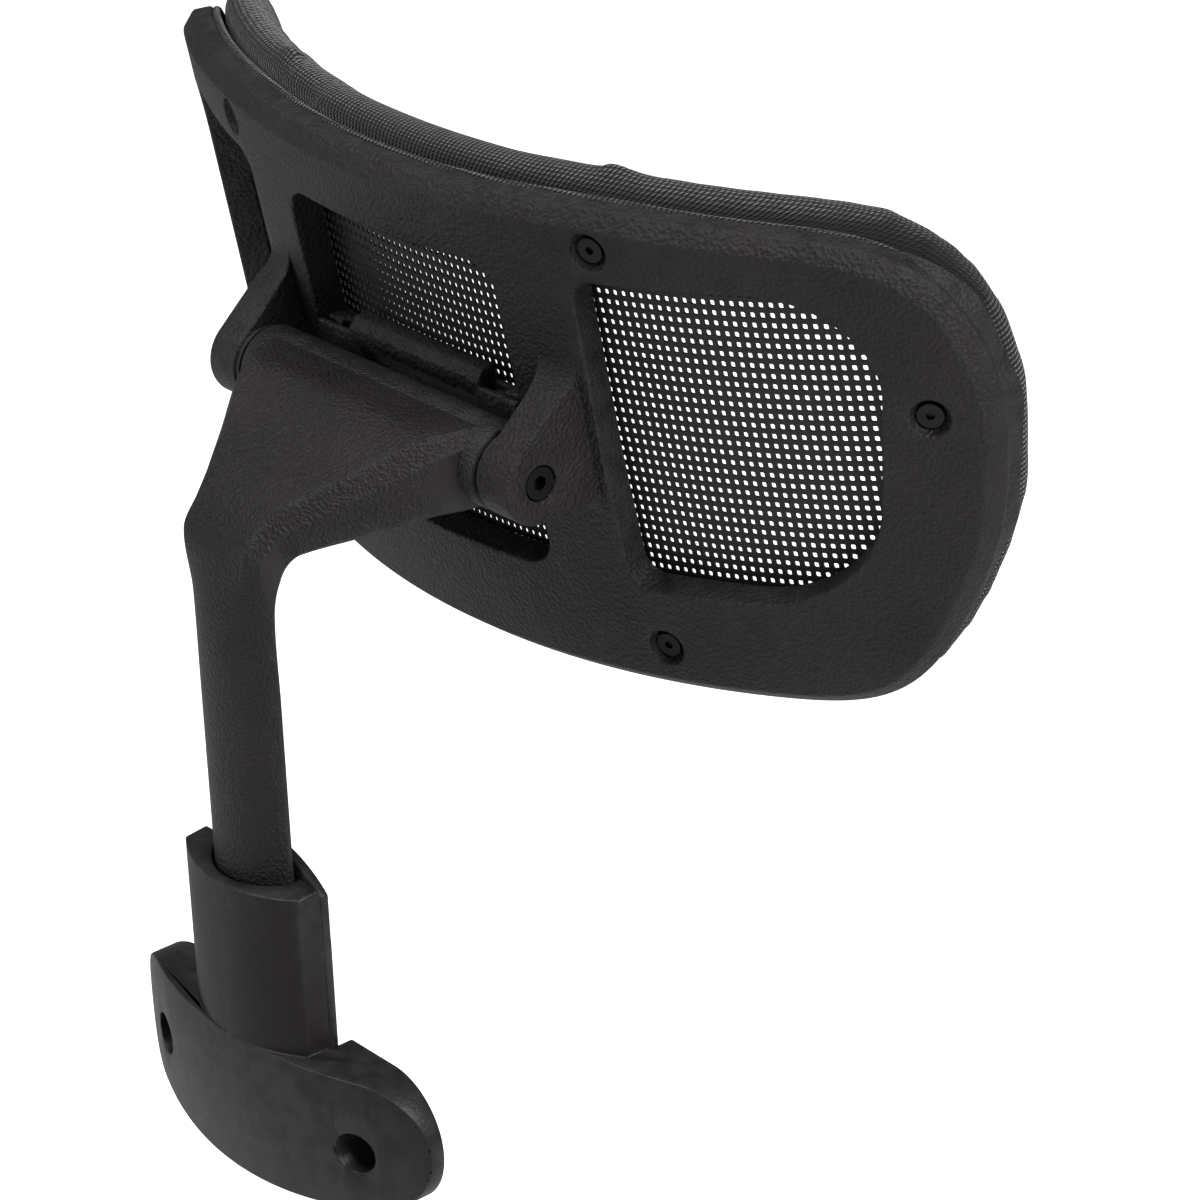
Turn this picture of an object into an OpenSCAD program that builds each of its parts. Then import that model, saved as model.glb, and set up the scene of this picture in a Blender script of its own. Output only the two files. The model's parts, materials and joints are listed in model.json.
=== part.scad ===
// Chair headrest attachment: a bolt-on bracket, a height-adjustable arm and a tilting, curved mesh headrest.
// Frame: millimetres, +Z up, head-facing side toward -Y, origin midway between the two chair bolts on
// the flat face of the bracket that rests against the chair back.

/* [Display] */
// Which node to show

/* [Bracket] */
// Distance between the two chair bolts
bolt_spacing = 70; // [50:1:90]
// Clearance bore for each chair bolt
bolt_bore_d = 5.5; // [4.5:0.1:6.6]
// Height of the flat top of the flange above the bolt line
flange_top = 18; // [12:0.5:24]
// Height of the sleeve rim above the bolt line
sleeve_top = 57; // [45:1:70]
// Width of the sleeve
sleeve_width = 41; // [36:0.5:50]
// Bulge of the sleeve's rounded rear face
sleeve_bulge = 6.4; // [4:0.2:10]
// Thickness of the front cover plate
plate_thickness = 2.4; // [1.8:0.1:3.6]

/* [Arm] */
// Width of the height post
post_width = 26; // [20:0.5:32]
// Bulge of the post's rounded rear face
post_bulge = 7; // [4:0.2:9]
// Depth of the post's flat side facet
post_facet = 1.2; // [0.8:0.1:2.4]
// Height of the lower end of the post above the bolt line, at the rest height
post_foot_z = 22; // [18:0.5:26]
// Downward travel of the post from rest
travel_down = 30; // [16:1:30]
// Upward travel of the post from rest
travel_up = 8; // [4:1:10]
// Height of the tilt axis above the bolt line, at the rest height
pivot_height = 150; // [135:1:175]
// Distance of the tilt axis in front of the chair face
pivot_reach = 35; // [28:1:45]
// Diameter of the hinge barrel
barrel_d = 18.6; // [15:0.2:22]
// Length of the hinge barrel
barrel_length = 80.6; // [70:0.2:90]

/* [Headrest] */
// Half of the overall width of the rear shell
shell_half_width = 132; // [118:1:150]
// Overall height of the rear shell
shell_height = 115; // [100:1:135]
// Radius of the shell's curved rear face
shell_radius = 200; // [170:5:260]
// Depth of the shell's rim wall
rim_depth = 7.4; // [5:0.2:10]
// Thickness of the shell floor
floor_thickness = 3.2; // [2.6:0.1:4]
// Backward lean of the headrest at rest, degrees
rest_lean = 10.8; // [0:0.1:20]
// Largest forward tilt from rest, degrees
tilt_forward = 20; // [10:1:24]
// Largest backward tilt from rest, degrees
tilt_back = 15; // [8:1:18]
// Thickness of each hinge ear
ear_thickness = 10.4; // [8:0.2:14]
// Height of the padded border above the mesh
pad_height = 13; // [8:0.5:18]
// Width of the padded border at the ends and the top
pad_width = 16; // [14:1:22]
// Width of the padded border along the bottom
pad_bottom_width = 13; // [10:1:20]

/* [Hidden] */
$fn = 72;
eps = 0.01;
fit = 0.05;
fine_fn = 96;
through = 120;

// Bracket
plate_front_y = 3.5;
parting_y = plate_front_y + plate_thickness;
wall_depth = 5.9;
sleeve_edge_y = parting_y + wall_depth;
sleeve_half = sleeve_width / 2;
sleeve_arc_r = (sleeve_half * sleeve_half + sleeve_bulge * sleeve_bulge) / (2 * sleeve_bulge);
sleeve_crown_y = sleeve_edge_y + sleeve_bulge;
lobe_r = 16;
lobe_x = bolt_spacing / 2 + 1;
lobe_z = flange_top - lobe_r;
flange_bottom = -17;
flange_arc_r = 240;
flange_rear_r = 100;
foot_height = 5;
casing_floor_z = post_foot_z - foot_height - travel_down;
rim_slope = 6;
plate_bottom = casing_floor_z - 1;
plate_corner_z = sleeve_top - 1.5;
plate_crest_z = sleeve_top + 6.5;
plate_screw_z = [-6, 44];
plate_screw_d = 2.5;
plate_head_d = 4.6;
plate_head_h = 1.3;
plate_screw_length = 6;
plate_screw_edge = 3.2;
bolt_sleeve_d = 8.6;
bolt_sleeve_length = 4.6;
counterbore_d = 9.6;

// Liner and detent
liner_wall = 1.5;
liner_gap = 0.08;
foot_step = 0.9;
cavity_step = 1.25;
lip_step = 0.5;
liner_bottom = post_foot_z + travel_up;
liner_top = sleeve_top - 1.5;
liner_screw_gap = 0.3;
plate_screw_x = max(sleeve_half - plate_screw_edge,
  post_width / 2 + liner_gap + liner_wall + plate_screw_d / 2 + liner_screw_gap);
window_width = 9;
window_height = 9;
window_z = 42;
groove_width = 10;
groove_depth = 1;
notch_pitch = 8;
notch_r = 1.6;
button_gap = 0.3;
button_back_y = parting_y - 0.7;
nose_gap = 0.15;
nose_rise = 0.3;
spring_thickness = 0.4;
spring_sag = 0.5;
spring_seat_y = parting_y - 1.7;
spring_width = 8;
spring_length = 30;
spring_gap = 0.2;

// Post
post_front_y = parting_y + 1;
post_half = post_width / 2;
post_edge_y = post_front_y + post_facet;
post_arc_r = (post_half * post_half + post_bulge * post_bulge) / (2 * post_bulge);
post_top_z = pivot_height - 24;
foot_screw_y = post_edge_y + 2.6;
foot_screw_d = 4;
foot_screw_length = 14;
foot_screw_head_d = 7;
foot_screw_head_h = 1.8;

// Barrel and hinge
pivot_y = -pivot_reach;
barrel_r = barrel_d / 2;
barrel_half = barrel_length / 2;
barrel_gap = 0.6;
washer_thickness = 0.8;
washer_d = 16;
ear_in = barrel_half + washer_thickness + 0.1;
ear_out = ear_in + ear_thickness;
ear_relief = 1.2;
ear_tuck = 0.3;
ear_root = 17;
ear_rise = 31;
ear_under = 9;
shoulder_d = 5;
screw_thread_d = 4;
screw_head_d = 7.2;
head_recess_d = 8;
head_recess_depth = 4.6;
screw_head_h = 3.6;
spring_washer_h = 0.6;
bush_d = 7;
insert_d = 6;
insert_length = 8;
screw_seat_x = ear_out - head_recess_depth;
thread_length = 7;

// Neck
slice = 0.1;
neck_under = 2;
// Stations of the neck: y, half width, underside and top from the tilt axis, bevel of the top corners
neck = [
  [post_edge_y + 4.7, post_half - 0.5, -23, -11, 3],
  [pivot_y + 38, post_half + 3.5, -16.2, -5.2, 4.5],
  [pivot_y + 14, barrel_half - 6.5, -8.9, 8.2, 4.5],
  [pivot_y + 2.2, barrel_half - 3.6, -8.9, 8.9, 1.5]
];

// Tilt stop
web_in = 34.5;
stop_rib_r = 11.4;
stop_rib_half_angle = 8;
stop_rib_angle = 5;
stop_play = 0.3;
stop_pocket_r = 12;
stop_pocket_half = 19.5;
stop_rib_half = 18;
bar_rear_y = -9.9;
bar_front_y = -15.3;
bar_half = web_in - 0.5;
bar_top = 8.5;
bar_bottom = -8;
bar_channel = 2;
bar_flange = 1.5;
block_half = 22;
block_top = 12;
block_chamfer = 2;
lug_out = 43;
lug_root = 6;
lug_root_depth = 3;
lug_n0 = 5.3;
lug_n1 = 7.3;
lug_screw_x = 38.8;
lug_screw_d = 2.5;
lug_head_d = 4.4;
lug_head_h = 1.2;
lug_screw_length = 4;

// Headrest shell
face_offset = 7.5;
centre_y = -(face_offset + shell_radius);
top_t = shell_height / 2 - 0.5;
bottom_t = top_t - shell_height;
// Arcs of each side: inset of the centre from the half width, share of the height below the top, radius
side_arcs = [[28, 0.26, 25], [23, 0.39, 23], [26, 0.6, 23], [31.5, 0.765, 20.5]];
bottom_arc_inset = 33;
bottom_arc_r = 16;
top_flat_half = 60;
top_arc_r = 0.5;
window_top_r = 20;
window_top_inset = 20;
window_bottom_r = 24;
window_bottom_inset = 28;
centre_corner_r = 7.5;
// Arcs of a side opening
inner_arc_r = 5;
upper_arc_r = 22;
upper_arc_inset = 41;
lower_arc_r = 28;
lower_arc_inset = 50;
rim_wall = 2.6;
web_depth = 5.2;
lip_width = 1.2;
web_out = 54.5;
opening_top = top_t - 15.5;
opening_bottom = bottom_t + 25;
frame_gap = 0.2;
frame_n0 = floor_thickness + frame_gap;
frame_n1 = frame_n0 + 5;
mesh_thickness = 0.8;
mesh_n0 = frame_n1 + 0.1;
mesh_n1 = mesh_n0 + mesh_thickness;
pad_n0 = mesh_n1 + 0.1;
pad_n1 = pad_n0 + pad_height;
pad_middle_n = (pad_n0 + pad_n1) / 2;
cover_thickness = 1.2;
frame_band = 10;
spline_inset = 1;
spline_width = 1.8;
spline_depth = 1.9;
frame_inset = rim_wall + 0.4;
end_screw_edge = 11.64;
end_screw_angle = asin((shell_half_width - end_screw_edge) / shell_radius);
screw_spots = [[17.5, top_t - 8.2], [17.5, bottom_t + 10.5], [end_screw_angle, 13]];
frame_screw_d = 3;
frame_screw_head_d = 5.6;
frame_screw_head_h = 1.2;
frame_screw_length = 5.6;
screw_seat_n = 2.4;
screw_dish_d = 8.4;

charcoal = [0.16, 0.16, 0.165];
satin = [0.2, 0.2, 0.21];
steel = [0.62, 0.63, 0.65];
brass = [0.72, 0.58, 0.3];
acetal = [0.85, 0.85, 0.82];
foam_grey = [0.3, 0.3, 0.32];
cloth = [0.12, 0.12, 0.125];

// ---------- shared shapes ----------

// D-section with a flat front, narrow flat sides and an arc for the rear, grown by d
module d_section(half, front, edge, arc_r, bulge, d = 0) {
  intersection() {
    translate([-half - d, front - d])
      square([2 * (half + d), edge - front + bulge + 2 * d]);
    translate([0, edge + bulge - arc_r])
      circle(r = arc_r + d, $fn = 2 * fine_fn);
  }
}

module post_section(d = 0) {
  d_section(post_half, post_front_y, post_edge_y, post_arc_r, post_bulge, d);
}

module sleeve_section(d = 0) {
  d_section(sleeve_half, parting_y, sleeve_edge_y, sleeve_arc_r, sleeve_bulge, d);
}

// Places children in the headrest's own frame: tilt axis at the origin, leaning back at rest
module in_headrest() {
  translate([0, pivot_y, pivot_height])
    rotate([-rest_lean, 0, 0])
      children();
}

// Places children on the shell's rear face at an angle along the curve, +Y pointing to the rear
module on_curve(angle, t) {
  translate([0, centre_y, 0])
    rotate([0, 0, angle])
      translate([0, shell_radius, t])
        children();
}

// Both mirror images in X
module both_sides() {
  for (side = [0, 1])
    mirror([side, 0, 0])
      children();
}

// Layer of the curved shell between two depths measured forward from its rear face
module curved_layer(n0, n1, z0, z1) {
  translate([0, centre_y, z0])
    difference() {
      cylinder(r = shell_radius - n0, h = z1 - z0, $fn = 240);
      translate([0, 0, -1])
        cylinder(r = shell_radius - n1, h = z1 - z0 + 2, $fn = 240);
    }
}

// Half width at a depth: the ends lie square to the curved face, so they draw in with depth
function half_at(n) = shell_half_width * (1 - n / shell_radius);

// Rounded outline of the headrest at depth n, shrunk by d
module outline(d = 0, n = 0) {
  half = half_at(n);
  hull()
    for (side = [-1, 1]) {
      for (arc = side_arcs)
        translate([side * (half - arc[0]), top_t - arc[1] * shell_height])
          circle(r = arc[2] - d, $fn = 48);
      translate([side * (half - bottom_arc_inset), bottom_t + bottom_arc_r])
        circle(r = bottom_arc_r - d, $fn = 48);
      translate([side * top_flat_half, top_t - d - top_arc_r])
        circle(r = top_arc_r, $fn = 24);
    }
}

// Window inside the padded border at depth n, enlarged by d
module pad_window(d = 0, n = 0) {
  half = half_at(n) - pad_width;
  hull()
    for (side = [-1, 1]) {
      translate([side * (half - window_top_inset), top_t - pad_width - window_top_r])
        circle(r = window_top_r + d, $fn = 48);
      translate([side * (half - window_bottom_inset), bottom_t + pad_bottom_width + window_bottom_r])
        circle(r = window_bottom_r + d, $fn = 48);
    }
}

// The outline shrunk by d, filled between two shell depths
module outline_plate(d, n0, n1) {
  intersection() {
    curved_layer(n0, n1, bottom_t - 2, top_t + 2);
    rotate([90, 0, 0])
      linear_extrude(height = through)
        outline(d);
  }
}

// Padded border between the outline shrunk by d0 and the window enlarged by d1
module pad_ring(d0, d1, n0, n1) {
  intersection() {
    curved_layer(n0, n1, bottom_t - 2, top_t + 2);
    rotate([90, 0, 0])
      linear_extrude(height = through)
        difference() {
          outline(d0, pad_middle_n);
          pad_window(d1, pad_middle_n);
        }
  }
}

// Ring that follows the outline between two insets, filled between two shell depths
module outline_ring(d0, d1, n0, n1) {
  intersection() {
    curved_layer(n0, n1, bottom_t - 2, top_t + 2);
    rotate([90, 0, 0])
      linear_extrude(height = through)
        difference() {
          outline(d0);
          outline(d1);
        }
  }
}

// Outline of the centre opening, between the two webs
module centre_opening(d = 0) {
  half = web_in + d;
  low = opening_bottom - d;
  high = opening_top + d;
  corner = centre_corner_r + d;
  translate([-half, low + corner])
    square([2 * half, high - low - 2 * corner]);
  translate([-half + corner, low])
    square([2 * (half - corner), high - low]);
  for (side = [-1, 1])
    for (z = [low + corner, high - corner])
      translate([side * (half - corner), z])
        circle(r = corner, $fn = 48);
}

// Outline of one side opening
module side_opening(d = 0) {
  hull() {
    for (z = [opening_top - inner_arc_r, opening_bottom + inner_arc_r])
      translate([web_out + inner_arc_r, z])
        circle(r = inner_arc_r + d, $fn = 32);
    translate([shell_half_width - upper_arc_inset, opening_top - upper_arc_r])
      circle(r = upper_arc_r + d, $fn = 64);
    translate([shell_half_width - lower_arc_inset, opening_bottom + lower_arc_r])
      circle(r = lower_arc_r + d, $fn = 64);
  }
}

// Every opening of the shell as a through prism along Y
module openings(d = 0) {
  rotate([90, 0, 0])
    linear_extrude(height = through, center = true) {
      centre_opening(d);
      side_opening(d);
      mirror([1, 0])
        side_opening(d);
    }
}

// Cylinder along X between two stations
module x_cylinder(r, x0, x1, facets = fine_fn) {
  translate([x0, 0, 0])
    rotate([0, 90, 0])
      cylinder(r = r, h = x1 - x0, $fn = facets);
}

// Cylinder along Y between two stations
module y_cylinder(r, y0, y1, facets = fine_fn) {
  translate([0, y1, 0])
    rotate([90, 0, 0])
      cylinder(r = r, h = y1 - y0, $fn = facets);
}

// Sector around the tilt axis, angles measured upward from straight ahead
module ahead_sector(r, angle0, angle1, half) {
  rotate([90, 0, 90])
    linear_extrude(height = 2 * half, center = true)
      intersection() {
        circle(r = r, $fn = fine_fn);
        polygon(concat([[0, 0]], [
          for (i = [0:6])
            let (a = angle0 + (angle1 - angle0) * i / 6)
              [-2 * r * cos(a), 2 * r * sin(a)]
        ]));
      }
}

// ---------- bracket ----------

// Elevation of the bolting flange
module flange_outline() {
  hull() {
    for (side = [-1, 1])
      translate([side * lobe_x, lobe_z])
        circle(r = lobe_r, $fn = fine_fn);
    intersection() {
      translate([0, flange_bottom + flange_arc_r])
        circle(r = flange_arc_r, $fn = 3 * fine_fn);
      translate([-lobe_x + 6, flange_bottom])
        square([2 * lobe_x - 12, lobe_r]);
    }
  }
}

module flange_body() {
  intersection() {
    rotate([-90, 0, 0])
      linear_extrude(height = through)
        mirror([0, 1])
          flange_outline();
    translate([0, sleeve_crown_y - flange_rear_r, flange_bottom - 1])
      cylinder(r = flange_rear_r, h = through, $fn = 3 * fine_fn);
  }
}

module sleeve_body() {
  difference() {
    linear_extrude(height = sleeve_top + 4)
      sleeve_section();
    translate([0, sleeve_edge_y, sleeve_top])
      rotate([-rim_slope, 0, 0])
        translate([-sleeve_width, -through / 2, 0])
          cube([2 * sleeve_width, through, through]);
  }
}

module bracket_casing() {
  color(charcoal)
    difference() {
      union() {
        flange_body();
        sleeve_body();
      }
      translate([0, 0, casing_floor_z])
        linear_extrude(height = through)
          post_section(lip_step);
      translate([0, 0, casing_floor_z])
        linear_extrude(height = liner_bottom - casing_floor_z + eps)
          post_section(cavity_step);
      translate([0, 0, liner_bottom])
        linear_extrude(height = liner_top - liner_bottom + fit)
          post_section(liner_gap + liner_wall + fit);
      translate([-sleeve_half - 0.1, -1, plate_bottom - 0.1])
        cube([sleeve_width + 0.2, parting_y + 1, 100]);
      for (side = [-1, 1])
        translate([side * bolt_spacing / 2, 0, 0]) {
          y_cylinder(bolt_sleeve_d / 2 + 0.02, -1, bolt_sleeve_length);
          y_cylinder(counterbore_d / 2, bolt_sleeve_length - eps, 40);
        }
      for (side = [-1, 1])
        for (z = plate_screw_z)
          translate([side * plate_screw_x, 0, z])
            y_cylinder(plate_screw_d / 2 + 0.02, 0, plate_front_y + plate_head_h + plate_screw_length + 0.5);
    }
}

module plate_outline() {
  half = sleeve_half;
  rise = plate_crest_z - plate_corner_z;
  arch_r = (half * half + rise * rise) / (2 * rise);
  translate([-half, plate_bottom])
    square([2 * half, plate_corner_z - plate_bottom]);
  intersection() {
    translate([0, plate_crest_z - arch_r])
      circle(r = arch_r, $fn = 2 * fine_fn);
    translate([-half, plate_corner_z - 1])
      square([2 * half, rise + 2]);
  }
}

module bracket_front_plate() {
  color(charcoal)
    difference() {
      translate([0, parting_y - 0.02, 0])
        rotate([90, 0, 0])
          linear_extrude(height = plate_thickness - 0.02)
            plate_outline();
      translate([-spring_width / 2 - spring_gap, spring_seat_y, window_z - spring_length / 2 - spring_gap])
        cube([spring_width + 2 * spring_gap, 2, spring_length + 2 * spring_gap]);
      for (side = [-1, 1])
        for (z = plate_screw_z)
          translate([side * plate_screw_x, 0, z]) {
            y_cylinder(plate_screw_d / 2 + 0.1, 0, 20);
            y_cylinder(plate_head_d / 2 + 0.15, 0, plate_front_y + plate_head_h);
          }
    }
}

module plate_screws() {
  color(steel)
    for (side = [-1, 1])
      for (z = plate_screw_z)
        translate([side * plate_screw_x, 0, z])
          difference() {
            union() {
              y_cylinder(plate_head_d / 2, plate_front_y + 0.05, plate_front_y + plate_head_h);
              y_cylinder(plate_screw_d / 2, plate_front_y + plate_head_h - eps,
                plate_front_y + plate_head_h + plate_screw_length);
            }
            y_cylinder(0.9, plate_front_y - 1, plate_front_y + 0.8, 6);
          }
}

module bolt_sleeves() {
  color(steel)
    for (side = [-1, 1])
      translate([side * bolt_spacing / 2, 0, 0])
        difference() {
          y_cylinder(bolt_sleeve_d / 2, 0, bolt_sleeve_length - 0.02);
          y_cylinder(bolt_bore_d / 2, -1, bolt_sleeve_length + 1);
        }
}

module glide_liner() {
  color(acetal)
    difference() {
      translate([0, 0, liner_bottom])
        linear_extrude(height = liner_top - liner_bottom)
          intersection() {
            difference() {
              post_section(liner_gap + liner_wall);
              post_section(liner_gap);
            }
            translate([-sleeve_half, parting_y + 0.03])
              square([sleeve_width, 40]);
          }
      translate([-window_width / 2, 0, window_z - window_height / 2])
        cube([window_width, post_front_y + 1, window_height]);
    }
}

module detent_spring() {
  arch_r = (spring_length * spring_length / 4 + spring_sag * spring_sag) / (2 * spring_sag);
  color(steel)
    translate([0, spring_seat_y + fit + spring_sag - arch_r, window_z])
      intersection() {
        difference() {
          x_cylinder(arch_r + spring_thickness, -spring_width / 2, spring_width / 2, 720);
          x_cylinder(arch_r, -spring_width, spring_width, 720);
        }
        translate([-spring_width, 0, -spring_length / 2])
          cube([2 * spring_width, 2 * arch_r, spring_length]);
      }
}

// Drawn pressed in, its nose just clear of the groove floor
module detent_button() {
  half_width = window_width / 2 - button_gap;
  height = window_height - 2 * button_gap;
  nose_r = notch_r - 0.35;
  color(acetal)
    union() {
      translate([-half_width, button_back_y, window_z - height / 2])
        cube([2 * half_width, post_front_y + nose_rise - button_back_y, height]);
      translate([0, post_front_y + groove_depth - nose_gap - nose_r, window_z])
        x_cylinder(nose_r, -half_width, half_width, 48);
    }
}

// ---------- arm ----------

// Thin cross-section of the neck, wide faces up and down, top corners bevelled
module neck_slab(station) {
  half = station[1];
  low = pivot_height + station[2];
  high = pivot_height + station[3];
  bevel = station[4];
  translate([0, station[0] + slice / 2, 0])
    rotate([90, 0, 0])
      linear_extrude(height = slice)
        polygon([
          [-half + neck_under, low], [half - neck_under, low], [half, low + neck_under], [half, high - bevel],
          [half - 0.55 * bevel, high], [-half + 0.55 * bevel, high], [-half, high - bevel],
          [-half, low + neck_under]
        ]);
}

module arm() {
  color(satin)
    difference() {
      union() {
        translate([0, 0, post_foot_z])
          linear_extrude(height = post_top_z - post_foot_z)
            post_section();
        hull() {
          translate([0, 0, post_top_z - slice])
            linear_extrude(height = slice)
              post_section();
          neck_slab(neck[0]);
          neck_slab(neck[1]);
        }
        for (i = [1, 2])
          hull() {
            neck_slab(neck[i]);
            neck_slab(neck[i + 1]);
          }
        translate([0, pivot_y, pivot_height])
          x_cylinder(barrel_r, -barrel_half, barrel_half);
        in_headrest()
          ahead_sector(stop_rib_r, stop_rib_angle - stop_rib_half_angle,
            stop_rib_angle + stop_rib_half_angle, stop_rib_half);
      }
      translate([-groove_width / 2, post_front_y - 1, post_foot_z - 1])
        cube([groove_width, groove_depth + 1, window_z + travel_down + 8 - post_foot_z]);
      for (i = [-1:3])
        translate([0, post_front_y + groove_depth - 0.5, window_z + i * notch_pitch])
          x_cylinder(notch_r, -groove_width / 2, groove_width / 2, 48);
      translate([0, foot_screw_y, post_foot_z - 1])
        cylinder(d = foot_screw_d + 0.04, h = foot_screw_length, $fn = 48);
      translate([0, pivot_y, pivot_height])
        both_sides() {
          x_cylinder(insert_d / 2 + 0.02, barrel_half - insert_length - 0.1, barrel_half + 1);
          x_cylinder(screw_thread_d / 2 + 0.6, barrel_half - insert_length - 3, barrel_half);
        }
    }
}

module post_foot() {
  color(acetal)
    difference() {
      translate([0, 0, post_foot_z - foot_height])
        linear_extrude(height = foot_height - 0.02)
          intersection() {
            post_section(foot_step);
            translate([-sleeve_half, parting_y + 0.15])
              square([sleeve_width, 40]);
          }
      translate([0, foot_screw_y, post_foot_z - foot_height - 1]) {
        cylinder(d = foot_screw_d + 0.3, h = foot_height + 2, $fn = 48);
        cylinder(d = foot_screw_head_d + 0.4, h = foot_screw_head_h + 1.2, $fn = 48);
      }
    }
}

module foot_screw() {
  seat = post_foot_z - foot_height + foot_screw_head_h + 0.2;
  color(steel)
    translate([0, foot_screw_y, seat])
      difference() {
        union() {
          translate([0, 0, -foot_screw_head_h])
            cylinder(d = foot_screw_head_d, h = foot_screw_head_h, $fn = 64);
          cylinder(d = foot_screw_d, h = foot_screw_length, $fn = 48);
        }
        translate([0, 0, -foot_screw_head_h - 1])
          cylinder(r = 1.25, h = 2, $fn = 6);
      }
}

module barrel_inserts() {
  color(brass)
    translate([0, pivot_y, pivot_height])
      both_sides()
        difference() {
          x_cylinder(insert_d / 2, barrel_half - insert_length, barrel_half);
          x_cylinder(screw_thread_d / 2 + 0.02, barrel_half - insert_length - 1, barrel_half + 1);
        }
}

module hinge_screws() {
  head_x = screw_seat_x + spring_washer_h;
  color(steel)
    translate([0, pivot_y, pivot_height])
      both_sides()
        difference() {
          union() {
            x_cylinder(screw_head_d / 2, head_x, head_x + screw_head_h);
            x_cylinder(shoulder_d / 2, barrel_half + 0.02, head_x + eps);
            x_cylinder(screw_thread_d / 2, barrel_half - thread_length, barrel_half + 0.1);
          }
          x_cylinder(1.73, head_x + 1.4, head_x + screw_head_h + 1, 6);
        }
}

module friction_washers() {
  color(foam_grey)
    translate([0, pivot_y, pivot_height])
      both_sides()
        difference() {
          x_cylinder(washer_d / 2, barrel_half + 0.02, barrel_half + washer_thickness);
          x_cylinder(shoulder_d / 2 + 0.05, barrel_half - 1, barrel_half + washer_thickness + 1);
        }
}

module spring_washers() {
  color(steel)
    translate([0, pivot_y, pivot_height])
      both_sides()
        difference() {
          x_cylinder(screw_head_d / 2, screw_seat_x + 0.02, screw_seat_x + spring_washer_h - 0.02);
          x_cylinder(shoulder_d / 2 + 0.05, screw_seat_x - 1, screw_seat_x + 2);
        }
}

// ---------- headrest ----------

module hinge_bushes() {
  color(acetal)
    in_headrest()
      both_sides()
        difference() {
          x_cylinder(bush_d / 2, ear_in + 0.05, screw_seat_x - 0.05);
          x_cylinder(shoulder_d / 2 + fit, ear_in - 1, screw_seat_x + 1);
        }
}

module hinge_ear() {
  tucked_r = barrel_r - ear_tuck;
  rotate([90, 0, 90])
    translate([0, 0, ear_in + ear_relief])
      linear_extrude(height = ear_out - ear_in - ear_relief)
        union() {
          circle(r = barrel_r, $fn = fine_fn);
          polygon([
            [tucked_r * sin(ear_rise), tucked_r * cos(ear_rise)],
            [-ear_root, barrel_r / cos(ear_rise) + ear_root * tan(ear_rise)],
            [-ear_root, -barrel_r / cos(ear_under) + ear_root * tan(ear_under)],
            [-tucked_r * sin(ear_under), -tucked_r * cos(ear_under)]
          ]);
        }
  x_cylinder(tucked_r, ear_in, ear_in + ear_relief + 0.1);
}

// Block around both webs, where the shell is thicker
module web_blocks(d = 0) {
  both_sides()
    translate([web_in - 1 - d, -60, opening_bottom - 1 - d])
      cube([web_out - web_in + 2 + 2 * d, 60, opening_top - opening_bottom + 2 + 2 * d]);
}

// Lips around the openings, stopping short of the stop bar's lugs
module lips() {
  difference() {
    openings(lip_width);
    translate([-lug_out - 1, -through, bar_bottom - frame_gap])
      cube([2 * lug_out + 2, 2 * through, bar_top - bar_bottom + 2 * frame_gap]);
  }
}

// Hollow behind the shell's rim, leaving the floor, the lips of the openings and the webs
module shell_hollow() {
  difference() {
    union() {
      difference() {
        outline_plate(rim_wall, floor_thickness, rim_depth + 2);
        web_blocks();
      }
      intersection() {
        curved_layer(web_depth, rim_depth + 2, bottom_t, top_t);
        web_blocks(fit);
      }
    }
    lips();
  }
}

module rear_shell() {
  color(charcoal)
    in_headrest()
      difference() {
        union() {
          difference() {
            outline_plate(0, 0, rim_depth);
            shell_hollow();
          }
          both_sides()
            hinge_ear();
        }
        openings();
        x_cylinder(barrel_r + barrel_gap, -barrel_half - barrel_gap, barrel_half + barrel_gap);
        both_sides() {
          x_cylinder(bush_d / 2 + 0.02, ear_in - 1, screw_seat_x + 0.1);
          x_cylinder(head_recess_d / 2, screw_seat_x, ear_out + 1);
        }
        both_sides() {
          for (spot = screw_spots)
            on_curve(spot[0], spot[1]) {
              y_cylinder(screw_dish_d / 2, -screw_seat_n, 5);
              y_cylinder(frame_screw_d / 2 + 0.15, -10, 1);
            }
          lug_screw_place()
            y_cylinder(lug_screw_d / 2 + 0.02, 0, lug_screw_length);
        }
      }
}

// Seat of the stop-bar screw: origin on the underside of its head, +Y to the rear
module lug_screw_place() {
  n_here = lug_n1 - lug_head_h;
  r_here = shell_radius - n_here;
  translate([lug_screw_x, centre_y + sqrt(r_here * r_here - lug_screw_x * lug_screw_x), 2])
    children();
}

// Curved layer of a stop-bar lug between two stations along X
module lug_layer(n0, x0, x1) {
  intersection() {
    curved_layer(n0, lug_n1, bar_bottom, bar_top);
    translate([x0, -through / 2, bar_bottom])
      cube([x1 - x0, through / 2, bar_top - bar_bottom]);
  }
}

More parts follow.
